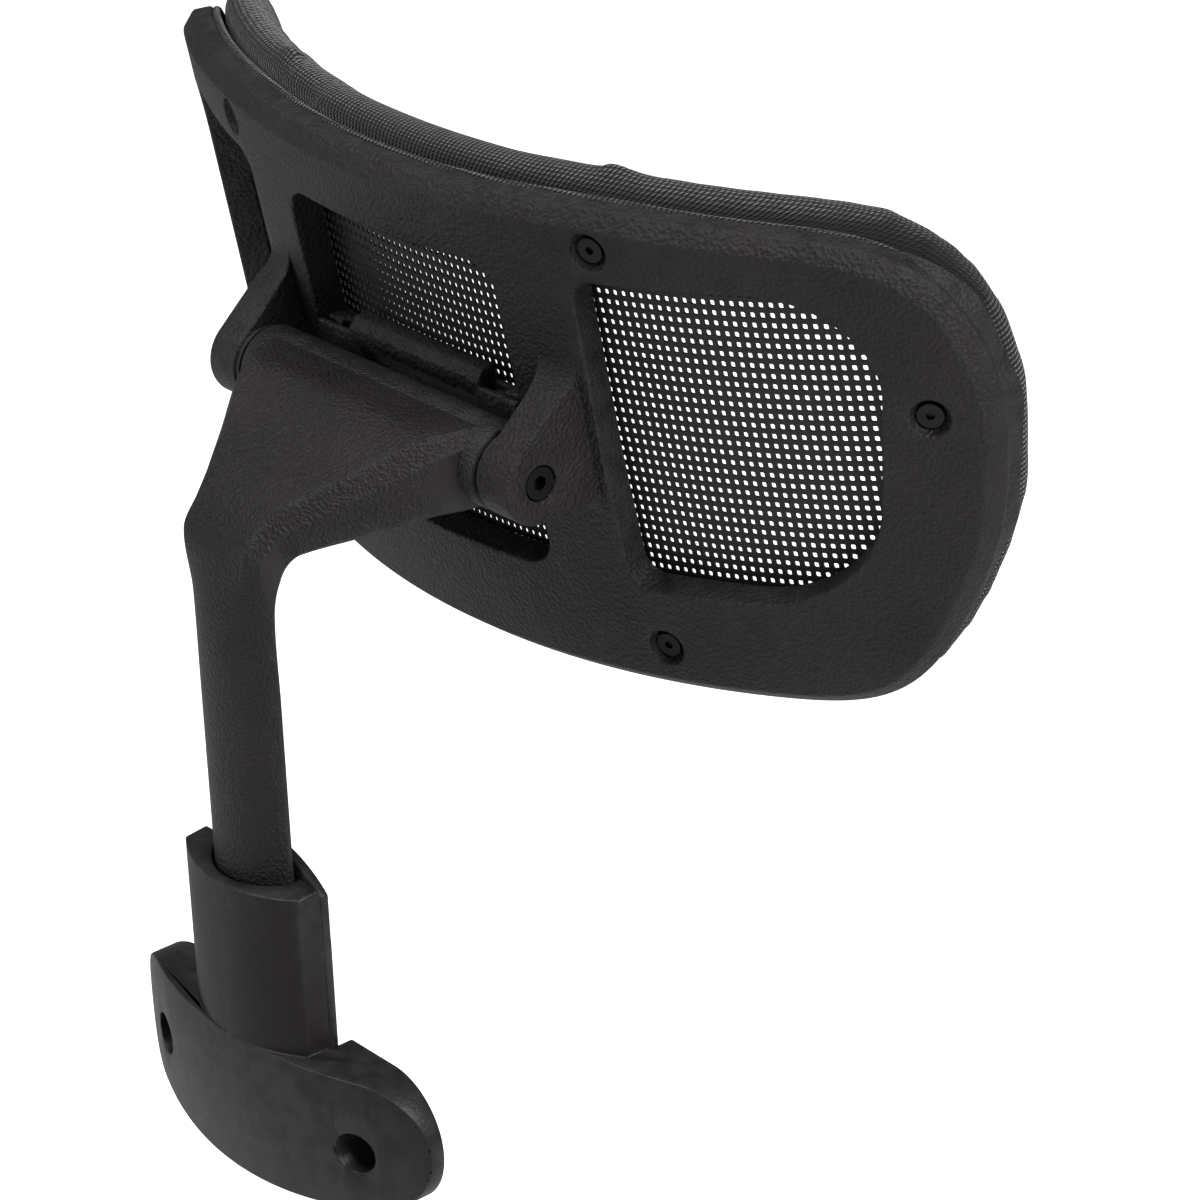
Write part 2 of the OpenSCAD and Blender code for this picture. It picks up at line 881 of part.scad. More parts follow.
module stop_bar() {
  color(charcoal)
    in_headrest()
      difference() {
        union() {
          translate([-bar_half, bar_front_y, bar_bottom])
            cube([2 * bar_half, bar_rear_y - bar_front_y, bar_top - bar_bottom - bar_channel]);
          for (y = [bar_front_y, bar_rear_y - bar_flange])
            translate([-bar_half, y, bar_bottom])
              cube([2 * bar_half, bar_flange, bar_top - bar_bottom]);
          rotate([90, 0, 90])
            linear_extrude(height = 2 * block_half, center = true)
              polygon([
                [bar_front_y, bar_bottom], [bar_rear_y, bar_bottom], [bar_rear_y, block_top - block_chamfer],
                [bar_rear_y - block_chamfer, block_top], [bar_front_y, block_top]
              ]);
          both_sides() {
            lug_layer(lug_n0, bar_half - lug_root, lug_out);
            lug_layer(lug_n0 - lug_root_depth, bar_half - lug_root, bar_half);
          }
        }
        x_cylinder(barrel_r + barrel_gap, -ear_in, ear_in);
        ahead_sector(stop_pocket_r, stop_rib_angle - stop_rib_half_angle - tilt_back - stop_play,
          stop_rib_angle + stop_rib_half_angle + tilt_forward + stop_play, stop_pocket_half);
        both_sides()
          lug_screw_place() {
            y_cylinder(lug_screw_d / 2 + 0.15, -3, 5);
            y_cylinder(lug_head_d / 2 + 0.15, -5, 0);
          }
      }
}

module stop_bar_screws() {
  color(steel)
    in_headrest()
      both_sides()
        lug_screw_place()
          difference() {
            union() {
              y_cylinder(lug_head_d / 2, -lug_head_h, 0);
              y_cylinder(lug_screw_d / 2, -eps, lug_screw_length - 0.2);
            }
            y_cylinder(0.8, -lug_head_h - 1, -lug_head_h + 0.7, 6);
          }
}

module frame_screws() {
  color(steel)
    in_headrest()
      both_sides()
        for (spot = screw_spots)
          on_curve(spot[0], spot[1])
            translate([0, -screw_seat_n, 0])
              difference() {
                union() {
                  y_cylinder(frame_screw_head_d / 2, 0, frame_screw_head_h);
                  y_cylinder(frame_screw_d / 2, -frame_screw_length, eps);
                }
                y_cylinder(1, 0.4, 3, 6);
              }
}

module mesh_frame() {
  color(charcoal)
    in_headrest()
      difference() {
        outline_ring(frame_inset, frame_inset + frame_band, frame_n0, frame_n1);
        outline_ring(frame_inset + spline_inset, frame_inset + spline_inset + spline_width,
          frame_n1 - spline_depth, frame_n1 + 1);
        both_sides()
          for (spot = screw_spots)
            on_curve(spot[0], spot[1])
              y_cylinder(frame_screw_d / 2 + 0.02, -frame_screw_length - screw_seat_n - 0.3, 0);
        openings(lip_width + frame_gap);
      }
}

module mesh_spline() {
  inset = frame_inset + spline_inset;
  color(satin)
    in_headrest()
      outline_ring(inset + 0.1, inset + spline_width - 0.1, frame_n1 - spline_depth + 0.05, frame_n1);
}

module mesh_panel() {
  color(foam_grey)
    in_headrest()
      outline_plate(frame_inset + 0.6, mesh_n0, mesh_n1);
}

module edge_piping() {
  color(cloth)
    in_headrest()
      outline_ring(0.4, 2.4, rim_depth + 0.1, pad_n0 - 0.1);
}

module foam_border() {
  color(foam_grey)
    in_headrest()
      pad_ring(2, 0, pad_n0, pad_n1);
}

module fabric_cover() {
  color(cloth)
    in_headrest()
      difference() {
        pad_ring(0.7, -1.3, pad_n0, pad_n1 + cover_thickness);
        pad_ring(1.95, -0.05, pad_n0 - 1, pad_n1 + 0.05);
      }
}

bracket_casing();
bracket_front_plate();
plate_screws();
bolt_sleeves();
glide_liner();
detent_spring();
detent_button();
arm();
post_foot();
foot_screw();
barrel_inserts();
hinge_screws();
friction_washers();
spring_washers();
hinge_bushes();
rear_shell();
stop_bar();
stop_bar_screws();
frame_screws();
mesh_frame();
mesh_panel();
mesh_spline();
edge_piping();
foam_border();
fabric_cover();
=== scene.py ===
"""Looks of a chair headrest attachment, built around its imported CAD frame.

The bracket bolts to a chair back, the arm slides in the bracket, and the curved headrest tilts on the arm.
Everything is in metres in the frame of the part: +Z up, the sitter's head toward -Y, the origin midway between
the chair bolts.
"""

import json
import logging
import math
from dataclasses import dataclass, field
from enum import Enum
from typing import Callable, Iterable, Sequence

import bmesh
import bpy
from mathutils import Matrix, Vector


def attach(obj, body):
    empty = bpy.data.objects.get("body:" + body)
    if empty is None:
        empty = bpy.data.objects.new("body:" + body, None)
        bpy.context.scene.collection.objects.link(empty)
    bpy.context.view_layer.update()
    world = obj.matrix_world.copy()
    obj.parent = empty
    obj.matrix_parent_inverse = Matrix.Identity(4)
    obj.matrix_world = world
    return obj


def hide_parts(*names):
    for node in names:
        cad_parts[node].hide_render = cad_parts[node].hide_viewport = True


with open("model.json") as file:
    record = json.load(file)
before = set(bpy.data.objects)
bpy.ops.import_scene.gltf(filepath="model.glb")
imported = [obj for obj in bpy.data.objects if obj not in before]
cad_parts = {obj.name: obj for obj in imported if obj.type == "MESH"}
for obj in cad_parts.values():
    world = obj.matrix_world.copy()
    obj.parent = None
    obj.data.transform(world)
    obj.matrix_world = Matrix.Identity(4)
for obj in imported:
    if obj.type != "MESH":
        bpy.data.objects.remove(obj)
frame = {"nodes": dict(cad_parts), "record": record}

logging.basicConfig(level=logging.INFO, format="%(levelname)s %(message)s")
LOG = logging.getLogger("headrest")
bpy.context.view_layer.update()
MM = 0.001
KNIT_PLACE = "knit_place"
Point2 = tuple[float, float]
Loop2 = list[Point2]


class Body(Enum):
    """The three bodies of the mechanism."""

    BRACKET = "bracket"
    ARM = "arm"
    HEADREST = "headrest"


class Slot(Enum):
    """Finishes named in the part's record."""

    CASING = "casing_plastic"
    ARM = "arm_plastic"
    SHELL = "shell_plastic"
    BLACK_STEEL = "black_steel"
    BRIGHT_STEEL = "bright_steel"
    BRASS = "insert_brass"
    ACETAL = "acetal"
    FIBRE = "washer_fibre"
    MESH = "mesh"
    FOAM = "foam"
    KNIT = "knit"


# ---------------------------------------------------------------- shader groups


def socket(tree: bpy.types.NodeTree, name: str, kind: str, way: str, value: object = None) -> None:
    """Adds one named socket to a node group.

    Args:
        tree: The node group.
        name: Name of the socket.
        kind: Float, Color or Vector.
        way: INPUT or OUTPUT.
        value: Default of an input.
    """
    made = tree.interface.new_socket(name=name, in_out=way, socket_type=f"NodeSocket{kind}")
    if value is not None:
        made.default_value = value


class NodeKit:
    """Short calls for making and joining shader nodes in one tree."""

    def __init__(self, tree: bpy.types.NodeTree) -> None:
        """Keeps the tree that nodes are added to."""
        self.tree = tree

    def add(self, kind: str, **values: object) -> bpy.types.Node:
        """Adds a node and sets its properties or inputs.

        Args:
            kind: Node type without its ShaderNode prefix.
            **values: Properties, or input defaults with spaces written as underscores.

        Returns:
            The new node.
        """
        node = self.tree.nodes.new(kind if kind.startswith("NodeGroup") else f"ShaderNode{kind}")
        for name, value in values.items():
            if hasattr(node, name):
                setattr(node, name, value)
            else:
                node.inputs[name.replace("_", " ")].default_value = value
        return node

    def join(self, source: bpy.types.NodeSocket, target: bpy.types.NodeSocket) -> None:
        """Links two sockets."""
        self.tree.links.new(source, target)

    def math(
        self, operation: str, first: object, second: object = 0.0, clamp: bool = False
    ) -> bpy.types.NodeSocket:
        """Adds a Math node.

        Args:
            operation: Blender's name of the operation.
            first: Socket or number.
            second: Socket or number.
            clamp: Whether the result is kept between 0 and 1.

        Returns:
            The result socket.
        """
        node = self.add("Math", operation=operation, use_clamp=clamp)
        for index, value in enumerate((first, second)):
            if isinstance(value, (int, float)):
                node.inputs[index].default_value = value
            else:
                self.join(value, node.inputs[index])
        return node.outputs[0]

    def ramp(self, factor: bpy.types.NodeSocket, low: float, high: float) -> bpy.types.NodeSocket:
        """Spreads a value between two limits over 0 to 1."""
        node = self.add("MapRange", From_Min=low, From_Max=high)
        self.join(factor, node.inputs["Value"])
        return node.outputs["Result"]

    def mix(
        self, factor: bpy.types.NodeSocket, first: Sequence[float], second: Sequence[float]
    ) -> bpy.types.NodeSocket:
        """Mixes two plain colours by a mask and returns the colour socket."""
        node = self.add("Mix", data_type="RGBA")
        self.join(factor, node.inputs["Factor"])
        node.inputs["A"].default_value = tuple(first)
        node.inputs["B"].default_value = tuple(second)
        return node.outputs["Result"]


class SurfaceGroups:
    """Shared effects: moulded grain, worn edges, knit ribs, yarn twist and turned hardware."""

    def __init__(self) -> None:
        """Builds every group once."""
        self.grain = self._grain()
        self.wear = self._wear()
        self.knit = self._knit()
        self.yarn = self._yarn()
        self.turned = self._turned()

    def _new(
        self, name: str, inputs: Iterable[tuple[str, str, object]], outputs: Iterable[tuple[str, str]]
    ) -> NodeKit:
        """Starts a group with its sockets and its in and out nodes.

        Args:
            name: Name of the group.
            inputs: Name, kind and default of each input.
            outputs: Name and kind of each output.

        Returns:
            A kit on the group's tree, with attributes source and sink.
        """
        tree = bpy.data.node_groups.new(name, "ShaderNodeTree")
        for label, kind, value in inputs:
            socket(tree, label, kind, "INPUT", value)
        for label, kind in outputs:
            socket(tree, label, kind, "OUTPUT")
        kit = NodeKit(tree)
        kit.source = kit.add("NodeGroupInput")
        kit.sink = kit.add("NodeGroupOutput")
        kit.place = kit.add("TexCoord").outputs["Object"]
        return kit

    def _grain(self) -> bpy.types.NodeTree:
        """Fine leather-like grain; Side is how much of it the faces that look along X keep."""
        kit = self._new(
            "moulded_grain",
            [
                ("Scale", "Float", 1400.0), ("Side", "Float", 1.0),
                ("Base", "Float", 0.45), ("Swing", "Float", 0.05),
            ],
            [("Height", "Float"), ("Roughness", "Float"), ("Mask", "Float")],
        )
        coarse = kit.add("TexVoronoi", feature="SMOOTH_F1", Smoothness=0.6)
        kit.join(kit.place, coarse.inputs["Vector"])
        kit.join(kit.source.outputs["Scale"], coarse.inputs["Scale"])
        fine = kit.add("TexNoise", Detail=3.0, Roughness=0.6)
        kit.join(kit.place, fine.inputs["Vector"])
        kit.join(kit.math("MULTIPLY", kit.source.outputs["Scale"], 1.7), fine.inputs["Scale"])
        height = kit.math("ADD", kit.math("MULTIPLY", coarse.outputs["Distance"], 0.7),
                          kit.math("MULTIPLY", fine.outputs["Fac"], 0.5))
        cloud = kit.add("TexNoise", Scale=38.0, Detail=4.0)
        kit.join(kit.place, cloud.inputs["Vector"])
        drift = kit.math("SUBTRACT", cloud.outputs["Fac"], 0.5)
        swing = kit.math("MULTIPLY", drift, kit.source.outputs["Swing"])
        facing = kit.add("SeparateXYZ")
        kit.join(kit.add("TexCoord").outputs["Normal"], facing.inputs[0])
        flank = kit.ramp(kit.math("ABSOLUTE", facing.outputs["X"]), 0.86, 0.93)
        lost = kit.math("SUBTRACT", 1.0, kit.source.outputs["Side"])
        calm = kit.math("SUBTRACT", 1.0, kit.math("MULTIPLY", flank, lost))
        kit.join(kit.math("MULTIPLY", height, calm), kit.sink.inputs["Height"])
        kit.join(kit.math("ADD", kit.source.outputs["Base"], swing, clamp=True), kit.sink.inputs["Roughness"])
        kit.join(kit.ramp(cloud.outputs["Fac"], 0.3, 0.7), kit.sink.inputs["Mask"])
        return kit.tree

    def _wear(self) -> bpy.types.NodeTree:
        """Mask of rubbed outer edges, from the surface's pointiness broken up by noise."""
        kit = self._new("edge_wear", [("Reach", "Float", 0.04)], [("Mask", "Float")])
        point = kit.add("NewGeometry").outputs["Pointiness"]
        noise = kit.add("TexNoise", Scale=220.0, Detail=3.0)
        kit.join(kit.place, noise.inputs["Vector"])
        edge = kit.math("SUBTRACT", point, 0.505)
        sharp = kit.math("DIVIDE", edge, kit.source.outputs["Reach"], clamp=True)
        rubbed = kit.math("MULTIPLY", sharp, kit.ramp(noise.outputs["Fac"], 0.35, 0.65))
        kit.join(rubbed, kit.sink.inputs["Mask"])
        return kit.tree

    def _knit(self) -> bpy.types.NodeTree:
        """Ribs and stitches of a 3-D knit, laid by the piece's own knit_place values in millimetres; its Mask
        follows the height and paints shade in the rib valleys and highlight on the rib crests.
        """
        kit = self._new(
            "knit_ribs", [("Rib", "Float", 1.1), ("Stitch", "Float", 0.9)],
            [("Height", "Float"), ("Mask", "Float"), ("Fuzz", "Float")],
        )
        split = kit.add("SeparateXYZ")
        kit.join(kit.add("Attribute", attribute_name=KNIT_PLACE).outputs["Vector"], split.inputs[0])
        around = kit.math("DIVIDE", split.outputs["X"], kit.source.outputs["Rib"])
        across = kit.math("DIVIDE", split.outputs["Y"], kit.source.outputs["Stitch"])
        wave = kit.math("ABSOLUTE", kit.math("SINE", kit.math("MULTIPLY", around, math.pi)))
        lean = kit.math("ADD", across, kit.math("MULTIPLY", kit.math("FRACT", around), 0.5))
        stitch = kit.math("ABSOLUTE", kit.math("SINE", kit.math("MULTIPLY", lean, math.pi)))
        noise = kit.add("TexNoise", Scale=900.0, Detail=2.0)
        kit.join(kit.place, noise.inputs["Vector"])
        dashes = kit.math("ADD", kit.math("MULTIPLY", stitch, 0.55), 0.45)
        fuzz = kit.math("MULTIPLY", noise.outputs["Fac"], 0.25)
        height = kit.math("ADD", kit.math("MULTIPLY", wave, dashes), fuzz)
        kit.join(height, kit.sink.inputs["Height"])
        # painted shade and highlight: this colour mask follows the height, so it is dark in the valleys and
        # light on the crests
        kit.join(kit.ramp(height, 0.25, 1.05), kit.sink.inputs["Mask"])
        kit.join(noise.outputs["Fac"], kit.sink.inputs["Fuzz"])
        return kit.tree

    def _yarn(self) -> bpy.types.NodeTree:
        """Fine twist and uneven tone of a monofilament yarn."""
        kit = self._new("yarn_twist", [("Scale", "Float", 2600.0)], [("Height", "Float"), ("Mask", "Float")])
        noise = kit.add("TexNoise", Detail=2.0)
        kit.join(kit.place, noise.inputs["Vector"])
        kit.join(kit.source.outputs["Scale"], noise.inputs["Scale"])
        kit.join(noise.outputs["Fac"], kit.sink.inputs["Height"])
        kit.join(kit.ramp(noise.outputs["Fac"], 0.35, 0.65), kit.sink.inputs["Mask"])
        return kit.tree

    def _turned(self) -> bpy.types.NodeTree:
        """Fine lathe lines and tone changes of small turned or plated hardware."""
        kit = self._new("turned_lines", [("Scale", "Float", 900.0), ("Base", "Float", 0.3)],
                        [("Height", "Float"), ("Roughness", "Float"), ("Mask", "Float")])
        noise = kit.add("TexNoise", Detail=5.0, Roughness=0.7)
        kit.join(kit.place, noise.inputs["Vector"])
        kit.join(kit.source.outputs["Scale"], noise.inputs["Scale"])
        uneven = kit.math("MULTIPLY", noise.outputs["Fac"], 0.18)
        rough = kit.math("ADD", kit.source.outputs["Base"], uneven, clamp=True)
        kit.join(noise.outputs["Fac"], kit.sink.inputs["Height"])
        kit.join(rough, kit.sink.inputs["Roughness"])
        kit.join(kit.ramp(noise.outputs["Fac"], 0.3, 0.7), kit.sink.inputs["Mask"])
        return kit.tree


# ---------------------------------------------------------------- finishes


@dataclass(frozen=True)
class Plastic:
    """Black moulded plastic with grain, a faint cloud of tone and paler rubbed edges."""

    name: str
    slot: Slot
    tone: float = 0.03
    rough: float = 0.45
    grain: float = 0.25
    grain_scale: float = 1400.0
    wear: float = 0.04
    side_grain: float = 1.0

    def build(self, groups: SurfaceGroups) -> bpy.types.Material:
        """Makes the material."""
        kit, shader = start_material(self.name, self.rough)
        grain = kit.add(
            "Group", node_tree=groups.grain, Scale=self.grain_scale, Side=self.side_grain, Base=self.rough
        )
        wear = kit.add("Group", node_tree=groups.wear)
        low, high = self.tone * (1.0 - 0.45 * self.grain), self.tone * (1.0 + 1.1 * self.grain)
        dark = (low * 1.2, low * 0.98, low * 0.94, 1.0)
        light = (high * 1.2, high * 0.98, high * 0.94, 1.0)
        worn = self.tone + self.wear
        base = kit.mix(grain.outputs["Mask"], dark, light)
        blend = kit.add("Mix", data_type="RGBA")
        kit.join(wear.outputs["Mask"], blend.inputs["Factor"])
        kit.join(base, blend.inputs["A"])
        blend.inputs["B"].default_value = (worn, worn, worn, 1.0)
        kit.join(blend.outputs["Result"], shader.inputs["Base Color"])
        kit.join(grain.outputs["Roughness"], shader.inputs["Roughness"])
        shader.inputs["Specular IOR Level"].default_value = 0.36
        bump = kit.add("Bump", Strength=min(1.6 * self.grain, 1.0), Distance=0.0006)
        kit.join(grain.outputs["Height"], bump.inputs["Height"])
        kit.join(bump.outputs["Normal"], shader.inputs["Normal"])
        return kit.material


@dataclass(frozen=True)
class Metal:
    """Small steel or brass hardware."""

    name: str
    slot: Slot
    colour: tuple[float, float, float] = (0.6, 0.6, 0.62)
    rough: float = 0.28

    def build(self, groups: SurfaceGroups) -> bpy.types.Material:
        """Makes the material."""
        kit, shader = start_material(self.name, self.rough)
        lines = kit.add("Group", node_tree=groups.turned, Base=self.rough)
        dark = tuple(c * 0.82 for c in self.colour) + (1.0,)
        kit.join(kit.mix(lines.outputs["Mask"], dark, self.colour + (1.0,)), shader.inputs["Base Color"])
        kit.join(lines.outputs["Roughness"], shader.inputs["Roughness"])
        shader.inputs["Metallic"].default_value = 1.0
        bump = kit.add("Bump", Strength=0.12, Distance=0.0002)
        kit.join(lines.outputs["Height"], bump.inputs["Height"])
        kit.join(bump.outputs["Normal"], shader.inputs["Normal"])
        return kit.material


@dataclass(frozen=True)
class Knit:
    """Ribbed 3-D knit with a soft sheen, with painted shade in the rib valleys and painted highlight on the
    rib crests.
    """

    name: str
    slot: Slot
    tone: float = 0.034
    rib: float = 1.1

    def build(self, groups: SurfaceGroups) -> bpy.types.Material:
        """Makes the material."""
        kit, shader = start_material(self.name, 0.85)
        knit = kit.add("Group", node_tree=groups.knit, Rib=self.rib)
        # painted shade in the rib valleys and painted highlight on the rib crests: dark and light follow the
        # knit's height
        dark = (self.tone * 0.35, self.tone * 0.35, self.tone * 0.36, 1.0)
        light = (self.tone * 1.9, self.tone * 1.75, self.tone * 1.72, 1.0)
        kit.join(kit.mix(knit.outputs["Mask"], dark, light), shader.inputs["Base Color"])
        shader.inputs["Sheen Weight"].default_value = 0.35
        shader.inputs["Sheen Roughness"].default_value = 0.4
        bump = kit.add("Bump", Strength=0.8, Distance=0.0007)
        kit.join(knit.outputs["Height"], bump.inputs["Height"])
        kit.join(bump.outputs["Normal"], shader.inputs["Normal"])
        return kit.material


@dataclass(frozen=True)
class Yarn:
    """Woven monofilament or other fine-twisted black stuff."""

    name: str
    slot: Slot
    tone: float = 0.03
    rough: float = 0.55
    bump: float = 0.3

    def build(self, groups: SurfaceGroups) -> bpy.types.Material:
        """Makes the material."""
        kit, shader = start_material(self.name, self.rough)
        twist = kit.add("Group", node_tree=groups.yarn)
        dark = (self.tone * 0.7, self.tone * 0.7, self.tone * 0.7, 1.0)
        light = (self.tone * 1.4, self.tone * 1.4, self.tone * 1.4, 1.0)
        kit.join(kit.mix(twist.outputs["Mask"], dark, light), shader.inputs["Base Color"])
        bump = kit.add("Bump", Strength=self.bump, Distance=0.0002)
        kit.join(twist.outputs["Height"], bump.inputs["Height"])
        kit.join(bump.outputs["Normal"], shader.inputs["Normal"])
        return kit.material


def start_material(name: str, rough: float) -> tuple[NodeKit, bpy.types.Node]:
    """Starts a material with its Principled shader.

    Args:
        name: Name of the material.
        rough: Plain roughness.

    Returns:
        A node kit, with the material as its attribute, and the shader node.
    """
    material = bpy.data.materials.new(name)
    material.use_nodes = True
    kit = NodeKit(material.node_tree)
    kit.material = material
    shader = material.node_tree.nodes["Principled BSDF"]
    shader.inputs["Roughness"].default_value = rough
    return kit, shader


class Finishes:
    """Every material of the object, by record slot."""

    def __init__(self) -> None:
        """Builds the shared groups and the materials."""
        groups = SurfaceGroups()
        kinds = [
            Plastic("casing_satin", Slot.CASING, tone=0.012, rough=0.42, grain=0.1, wear=0.02),
            Plastic("arm_satin", Slot.ARM, tone=0.012, rough=0.42, grain=0.55, wear=0.02, side_grain=0.12),
            Plastic(
                "shell_grain", Slot.SHELL, tone=0.012, rough=0.5, grain=0.6, grain_scale=1100.0, wear=0.02
            ),
            Plastic("smooth_acetal", Slot.ACETAL, tone=0.02, rough=0.32, grain=0.05, wear=0.01),
            Plastic(
                "friction_fibre", Slot.FIBRE, tone=0.03, rough=0.8, grain=0.6, grain_scale=2200.0, wear=0.0
            ),
            Plastic("open_foam", Slot.FOAM, tone=0.06, rough=0.95, grain=0.9, grain_scale=700.0, wear=0.0),
            Metal("black_oxide", Slot.BLACK_STEEL, colour=(0.035, 0.035, 0.037), rough=0.34),
            Metal("zinc_plate", Slot.BRIGHT_STEEL, colour=(0.6, 0.6, 0.62), rough=0.26),
            Metal("knurled_brass", Slot.BRASS, colour=(0.72, 0.56, 0.28), rough=0.3),
            Knit("rib_knit_painted_shade", Slot.KNIT, tone=0.006),
            Yarn("mesh_yarn", Slot.MESH, tone=0.014),
        ]
        self.by_slot = {kind.slot: kind.build(groups) for kind in kinds}

    def dress(self, piece: bpy.types.Object, slot: Slot) -> None:
        """Gives a piece one finish."""
        piece.data.materials.clear()
        piece.data.materials.append(self.by_slot[slot])
        for face in piece.data.polygons:
            face.material_index = 0

    def dress_cad(self) -> None:
        """Gives every carried-over CAD node its finish."""
        slots = {entry["node"]: entry["material_slot"] for entry in frame["record"]["subparts"]}
        for name, node in frame["nodes"].items():
            node.data.materials.clear()
            node.data.materials.append(self.by_slot[Slot(slots[name])])
            for face in node.data.polygons:
                face.material_index = 0
            LOG.info("CAD node %s wears %s", name, slots[name])


# ---------------------------------------------------------------- mesh helpers


def finish_mesh(name: str, work: bmesh.types.BMesh, crease: float = 32.0) -> bpy.types.Object:
    """Turns a bmesh into a shaded object in the scene.

    Args:
        name: Name of the piece.
        work: The mesh to keep; it is freed.
        crease: Angle in degrees above which an edge stays crisp.

    Returns:
        The new object.
    """
    bmesh.ops.recalc_face_normals(work, faces=work.faces)
    mesh = bpy.data.meshes.new(name)
    work.to_mesh(mesh)
    work.free()
    piece = bpy.data.objects.new(name, mesh)
    bpy.context.scene.collection.objects.link(piece)
    shade(piece, crease)
    return piece


def shade(piece: bpy.types.Object, crease: float) -> None:
    """Shades a piece smooth, with crisp edges above an angle in degrees."""
    for face in piece.data.polygons:
        face.use_smooth = True
    piece.data.set_sharp_from_angle(angle=math.radians(crease))


def apply_modifiers(piece: bpy.types.Object) -> None:
    """Replaces a piece's mesh by its evaluated mesh and drops its modifiers."""
    graph = bpy.context.evaluated_depsgraph_get()
    made = bpy.data.meshes.new_from_object(piece.evaluated_get(graph))
    piece.modifiers.clear()
    piece.data = made


def ring_faces(
    work: bmesh.types.BMesh, first: list[bmesh.types.BMVert], second: list[bmesh.types.BMVert]
) -> None:
    """Joins two closed rings of equal length with quads."""
    count = len(first)
    for i in range(count):
        j = (i + 1) % count
        work.faces.new((first[i], first[j], second[j], second[i]))


def arc(centre: Point2, radius: float, start: float, end: float, steps: int) -> Loop2:
    """Points on a circular arc, angles in degrees, both ends included."""
    points = []
    for i in range(steps + 1):
        a = math.radians(start + (end - start) * i / steps)
        points.append((centre[0] + radius * math.cos(a), centre[1] + radius * math.sin(a)))
    return points


def convex_hull(points: Loop2) -> Loop2:
    """Counter-clockwise convex hull of a set of points."""
    ordered = sorted(set(points))
    half: list[Loop2] = []
    for run in (ordered, ordered[::-1]):
        chain: Loop2 = []
        for p in run:
            while len(chain) > 1 and cross(chain[-2], chain[-1], p) <= 1e-12:
                chain.pop()
            chain.append(p)
        half.append(chain[:-1])
    return half[0] + half[1]


def cross(o: Point2, a: Point2, b: Point2) -> float:
    """Twice the signed area of a triangle."""
    return (a[0] - o[0]) * (b[1] - o[1]) - (a[1] - o[1]) * (b[0] - o[0])


def respace(loop: Loop2, count: int) -> Loop2:
    """The same closed loop with evenly spaced points."""
    total = [0.0]
    closed = loop + loop[:1]
    for a, b in zip(closed, closed[1:]):
        total.append(total[-1] + math.dist(a, b))
    result = []
    k = 0
    for i in range(count):
        d = total[-1] * i / count
        while total[k + 1] < d:
            k += 1
        f = (d - total[k]) / max(total[k + 1] - total[k], 1e-12)
        a, b = closed[k], closed[k + 1]
        result.append((a[0] + (b[0] - a[0]) * f, a[1] + (b[1] - a[1]) * f))
    return result


def inset(loop: Loop2, distance: float) -> Loop2:
    """A counter-clockwise loop moved inward by a distance, point by point."""
    count = len(loop)
    result = []
    for i, p in enumerate(loop):
        a, b = loop[i - 1], loop[(i + 1) % count]
        dx, dy = b[0] - a[0], b[1] - a[1]
        size = math.hypot(dx, dy) or 1.0
        result.append((p[0] - dy / size * distance, p[1] + dx / size * distance))
    return result


@dataclass
class Plate:
    """A flat plate with holes whose edges follow a profile, later bent or stood up by a placing function.

    Each profile is a list of (inset into the material, depth) from the first face to the last. Depth grows
    from the first face. The first and last rings of all profiles are filled to close the plate.
    """

    outer: Loop2
    outer_profile: list[Point2]
    holes: list[tuple[Loop2, list[Point2]]] = field(default_factory=list)
    cut_step: float = 0.0

    def build(self, name: str, place: Callable[[float, float, float], Vector]) -> bpy.types.Object:
        """Makes the plate.

        Args:
            name: Name of the piece.
            place: Turns flat x, flat y and depth into a point of the part's frame.

        Returns:
            The new object.
        """
        work = bmesh.new()
        firsts, lasts = [], []
        edges_of = [(self.outer, self.outer_profile, 1.0)]
        edges_of += [(loop, profile, -1.0) for loop, profile in self.holes]
        for loop, profile, sign in edges_of:
            rings = []
            for amount, depth in profile:
                rings.append([work.verts.new((x, y, depth)) for x, y in inset(loop, sign * amount)])
            for a, b in zip(rings, rings[1:]):
                ring_faces(work, a, b)
            firsts.append(rings[0])
            lasts.append(rings[-1])
        for rings in (firsts, lasts):
            self._fill(work, rings)
        if self.cut_step:
            self._cut(work)
        for vert in work.verts:
            vert.co = place(*vert.co)
        return finish_mesh(name, work)

    def _fill(self, work: bmesh.types.BMesh, rings: list[list[bmesh.types.BMVert]]) -> None:
        """Fills the face between the outer ring and the hole rings."""
        edges = []
        for ring in rings:
            for i, vert in enumerate(ring):
                edges.append(work.edges.get((vert, ring[(i + 1) % len(ring)])))
        bmesh.ops.triangle_fill(work, edges=edges, use_beauty=True)

    def _cut(self, work: bmesh.types.BMesh) -> None:
        """Cuts the flat plate into narrow strips so that it can be bent smoothly."""
        low = min(x for x, _ in self.outer)
        high = max(x for x, _ in self.outer)
        steps = int((high - low) / self.cut_step)
        for i in range(1, steps):
            spot = (low + (high - low) * i / steps, 0.0, 0.0)
            geometry = work.verts[:] + work.edges[:] + work.faces[:]
            bmesh.ops.bisect_plane(work, geom=geometry, plane_co=spot, plane_no=(1.0, 0.0, 0.0), dist=1e-6)


def rounded(radius: float, steps: int, depth: float = 0.0) -> list[Point2]:
    """A quarter-round profile from a face to a wall: inset shrinks to 0 as depth grows by the radius."""
    points = []
    for i in range(steps + 1):
        a = math.radians(90.0 * i / steps)
        points.append((radius * (1.0 - math.sin(a)), depth + radius * (1.0 - math.cos(a))))
    return points


